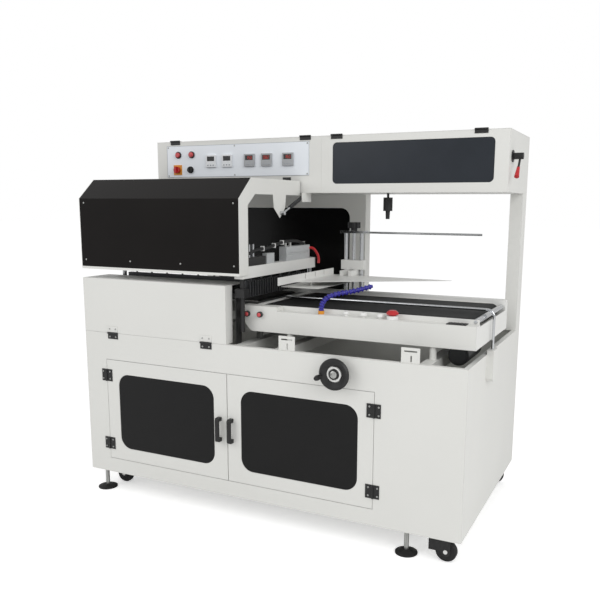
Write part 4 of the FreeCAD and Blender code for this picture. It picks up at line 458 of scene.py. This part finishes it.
dress_parts("jaw_hardware", [polished, black_nylon, grey_cast], jaw_part)
bolt_spots = [(728 + side * 11, 36 + 64 * number, 886) for number in (0, 8, 9) for side in (-1, 1)]
bolt_spots += [(70 + 80 * number, 185, 886) for number in range(8)]
BOLT_HEAD = [(0, 0), (5, 0), (5, 3.2), (4.2, 4), (2.4, 4), (2.4, 2), (0, 2)]
piece("jaw_bar_bolts", turned_mesh("jaw_bar_bolts", bolt_spots, BOLT_HEAD, (0, 0, 1), 16), zinc, "jaw")
hose_black = finish_of("black_hose", ("#121213", "#1B1B1C"), 0.38, scale=200.0)
jaw_hose = [(728, 70, 925), (733, 150, 942), (736, 240, 948), (728, 330, 958), (724, 420, 965),
            (728, 500, 962), (731, 560, 950)]
piece("jaw_cable_bundle", tube_mesh("jaw_cable_bundle", jaw_hose, 6.5), hose_black, "jaw")
red_hose = [(738, 588, 930), (752, 606, 928), (764, 622, 908), (770, 630, 884), (770, 630, 862)]
piece("jaw_red_hose", tube_mesh("jaw_red_hose", red_hose, 6.0), red_plastic, "jaw")
ties = [((725, 196, 937), (743, 200, 956)), ((722, 292, 944), (740, 296, 963)),
        ((716, 372, 952), (734, 376, 971))]
piece("jaw_cable_ties", bars_mesh("jaw_cable_ties", ties, 1.5), white_plastic, "jaw")
fitting_spots = [(728, y, 944) for y in (400, 440, 566)]
FITTING = [(0, 0), (7, 0), (7, 5), (5, 5.5), (5, 11), (6, 11.5), (6, 15), (0, 15.5)]
piece("actuator_fittings", turned_mesh("actuator_fittings", fitting_spots, FITTING, (0, 0, 1), 24), zinc,
      "jaw")

# ---- Guard and gas spring ----
# A folded sheet of smoked acrylic between white end plates, hinged on the control box.
# Small pan-head screws hold the sheet to the end plates.
guard_gloss = finish_of("smoked_guard_sheet", ("#0B0807", "#110D0B"), 0.2, scale=6.0, bump=0.02,
                        specular=0.2)
dress(guard_gloss, "guard_shell")
guard_spots = [(x, 0, z) for x in (24, 728) for z in (892, 1118)]
guard_spots += [(x, 0, 892) for x in (250, 490)]
piece("guard_screws", turned_mesh("guard_screws", guard_spots, SCREW_HEAD, (0, -1, 0), 16), zinc, "guard")

# ---- Control panel ----
# A pale lacquered plate carries the buttons, two switches and five panel-mounted controllers.
# The controllers' dark windows show red seven-segment figures.
plate_paint = finish_of("pale_blue_lacquer", ("#E8EDF3", "#EFF3F8"), 0.35, scale=14.0, bump=0.02)
dress(plate_paint, "control_plate")
case_white = finish_of("white_case", ("#E2E4E6", "#EAECEE"), 0.4, scale=90.0)
case_grey = finish_of("grey_case", ("#A3A5A8", "#AFB1B3"), 0.4, scale=90.0)
display_dark = finish_of("display_window", ("#0B0B0D", "#121214"), 0.18, scale=30.0, bump=0.02)
# This grey is the controller keys' own colour. It is also the painted shade of the strips round the plate's
# rim.
keys_grey_and_edge_shade = finish_of("grey_keys_and_painted_edge_shade", ("#9FA4AA", "#ABB0B5"), 0.4, scale=60.0)


def panel_part(x, y, z):
    """Each fitting of the panel by its place."""
    if x > 1500:
        return 0
    if x > 285:
        if 484 > y > 482.2 and z > 1301:
            return 3
        return 1 if x < 430 else 2
    if z < 1290 and x < 165:
        return 4
    return 0


dress_parts("panel_fittings", [black_nylon, case_white, case_grey, display_dark, amber_plastic],
            panel_part)
dress(pink_plastic, "start_button")
dress(red_plastic, "main_switch")
dress(black_nylon, "selector_switch")
piece("lamp_lens", turned_mesh("lamp_lens", [(209, 484.5, 1331)],
                               [(0, 0), (11.2, 0), (11.2, 5), (9, 8.6), (5, 9.8), (0, 10.2)], (0, -1, 0), 32),
      pink_plastic, "frame")
SEGMENTS = {"0": "abcdef", "1": "bc", "2": "abged", "5": "afgcd", "8": "abcdefg", "6": "afgedc"}
SEGMENT_PLACES = {"a": (0, 1, 1), "b": (1, 0.5, 0), "c": (1, -0.5, 0), "d": (0, -1, 1), "e": (-1, -0.5, 0),
                  "f": (-1, 0.5, 0), "g": (0, 0, 1)}
CONTROLLERS = (313, 396, 508, 592, 694)
figures = []
for centre, text in zip(CONTROLLERS[2:], ("150", "082", "160")):
    for place, figure in enumerate(text):
        middle_x = centre + (place - 1) * 10
        for segment in SEGMENTS[figure]:
            across, up, flat = SEGMENT_PLACES[segment]
            half_x, half_z = (2.4, 0.7) if flat else (0.7, 2.6)
            x = middle_x + across * 3
            z = 1311 + up * 6
            figures.append(((x - half_x, 482.0, z - half_z), (x + half_x, 482.6, z + half_z)))
lit_red = finish_of("lit_red_segment", ("#E03020", "#F04030"), 0.4, scale=90.0)
piece("display_figures", bars_mesh("display_figures", figures, 0.15), lit_red, "frame")
windows = [((centre - 19, 482.4, 1301), (centre + 19, 483.2, 1321)) for centre in CONTROLLERS]
piece("display_windows", bars_mesh("display_windows", windows, 0.3), display_dark, "frame")
keys = [((centre + step - 4, 480.7, 1281), (centre + step + 4, 481.7, 1286))
        for centre in CONTROLLERS for step in (-14, 0, 14)]
piece("controller_keys", bars_mesh("controller_keys", keys, 0.4), keys_grey_and_edge_shade, "frame")
plate_spots = [(x, 489.5, z) for x in (82, 432, 783) for z in (1241, 1364)]
piece("plate_screws", turned_mesh("plate_screws", plate_spots, SCREW_HEAD, (0, -1, 0), 12), zinc, "frame")
# Painted shade: thin grey strips round the plate's rim stand in for the dark line of shade where the plate
# meets the box face.
painted_shade_strips = [((74, 489, 1234), (791, 489.6, 1235.6)), ((74, 489, 1369.4), (791, 489.6, 1371)),
               ((74, 489, 1235.6), (75.6, 489.6, 1369.4)), ((789.4, 489, 1235.6), (791, 489.6, 1369.4))]
piece("plate_rim_painted_shade", bars_mesh("plate_rim_painted_shade", painted_shade_strips, 0.2), keys_grey_and_edge_shade, "frame")

# ---- Overhead beam window and rear window ----
# Dark blue-grey acrylic closes the long cut-out of the beam and the rear panel's opening.
# Both sheets are held from inside.
blue_smoke = finish_of("blue_smoked_acrylic", ("#23272D", "#2B3037"), 0.22, scale=8.0, bump=0.02,
                       specular=0.3)


def window_part(x, y, z):
    """The rear sheet is black and the beam's sheet is blue-grey."""
    return 0 if y > 700 else 1


dress_parts("fixed_windows", [smoked, blue_smoke], window_part)

# ---- Film stand, spindle and inverting head ----
# A fluted black knob turns the screw that lifts the head on its two polished rods.
# The head's two folded plates turn the centre-folded film round the product.
dress(frame_coat, "film_head")


def spindle_part(x, y, z):
    """The knob is black and the screw below it is steel."""
    return 0 if z > 1005 else 1


dress_parts("film_spindle", [black_nylon, polished], spindle_part)
head_spots = [(846, y, z) for y in (150, 330, 590) for z in (824, 838)]
piece("head_flange_screws", turned_mesh("head_flange_screws", head_spots, SCREW_HEAD, (-1, 0, 0), 12), zinc,
      "inverting_head")

# ---- Rods, sensor, gland and roll-tension lever ----
# Polished guide rods lead the film; the film sensor hangs from the beam.
# The ratchet lever with its long red grip sets the roll's brake.


def rod_part(x, y, z):
    """The folded side bracket is coated and the rods are polished."""
    return 1 if x > 1599 and z < 613 and y < 700 else 0


def lever_part(x, y, z):
    """The arm and barrel are black and the grip is red."""
    return 1 if z < 1253 else 0


dress_parts("guide_rods", [polished, cabinet_coat], rod_part)
dress_parts("ratchet_lever", [black_nylon, red_plastic], lever_part)
dress(black_nylon, "cable_fittings")
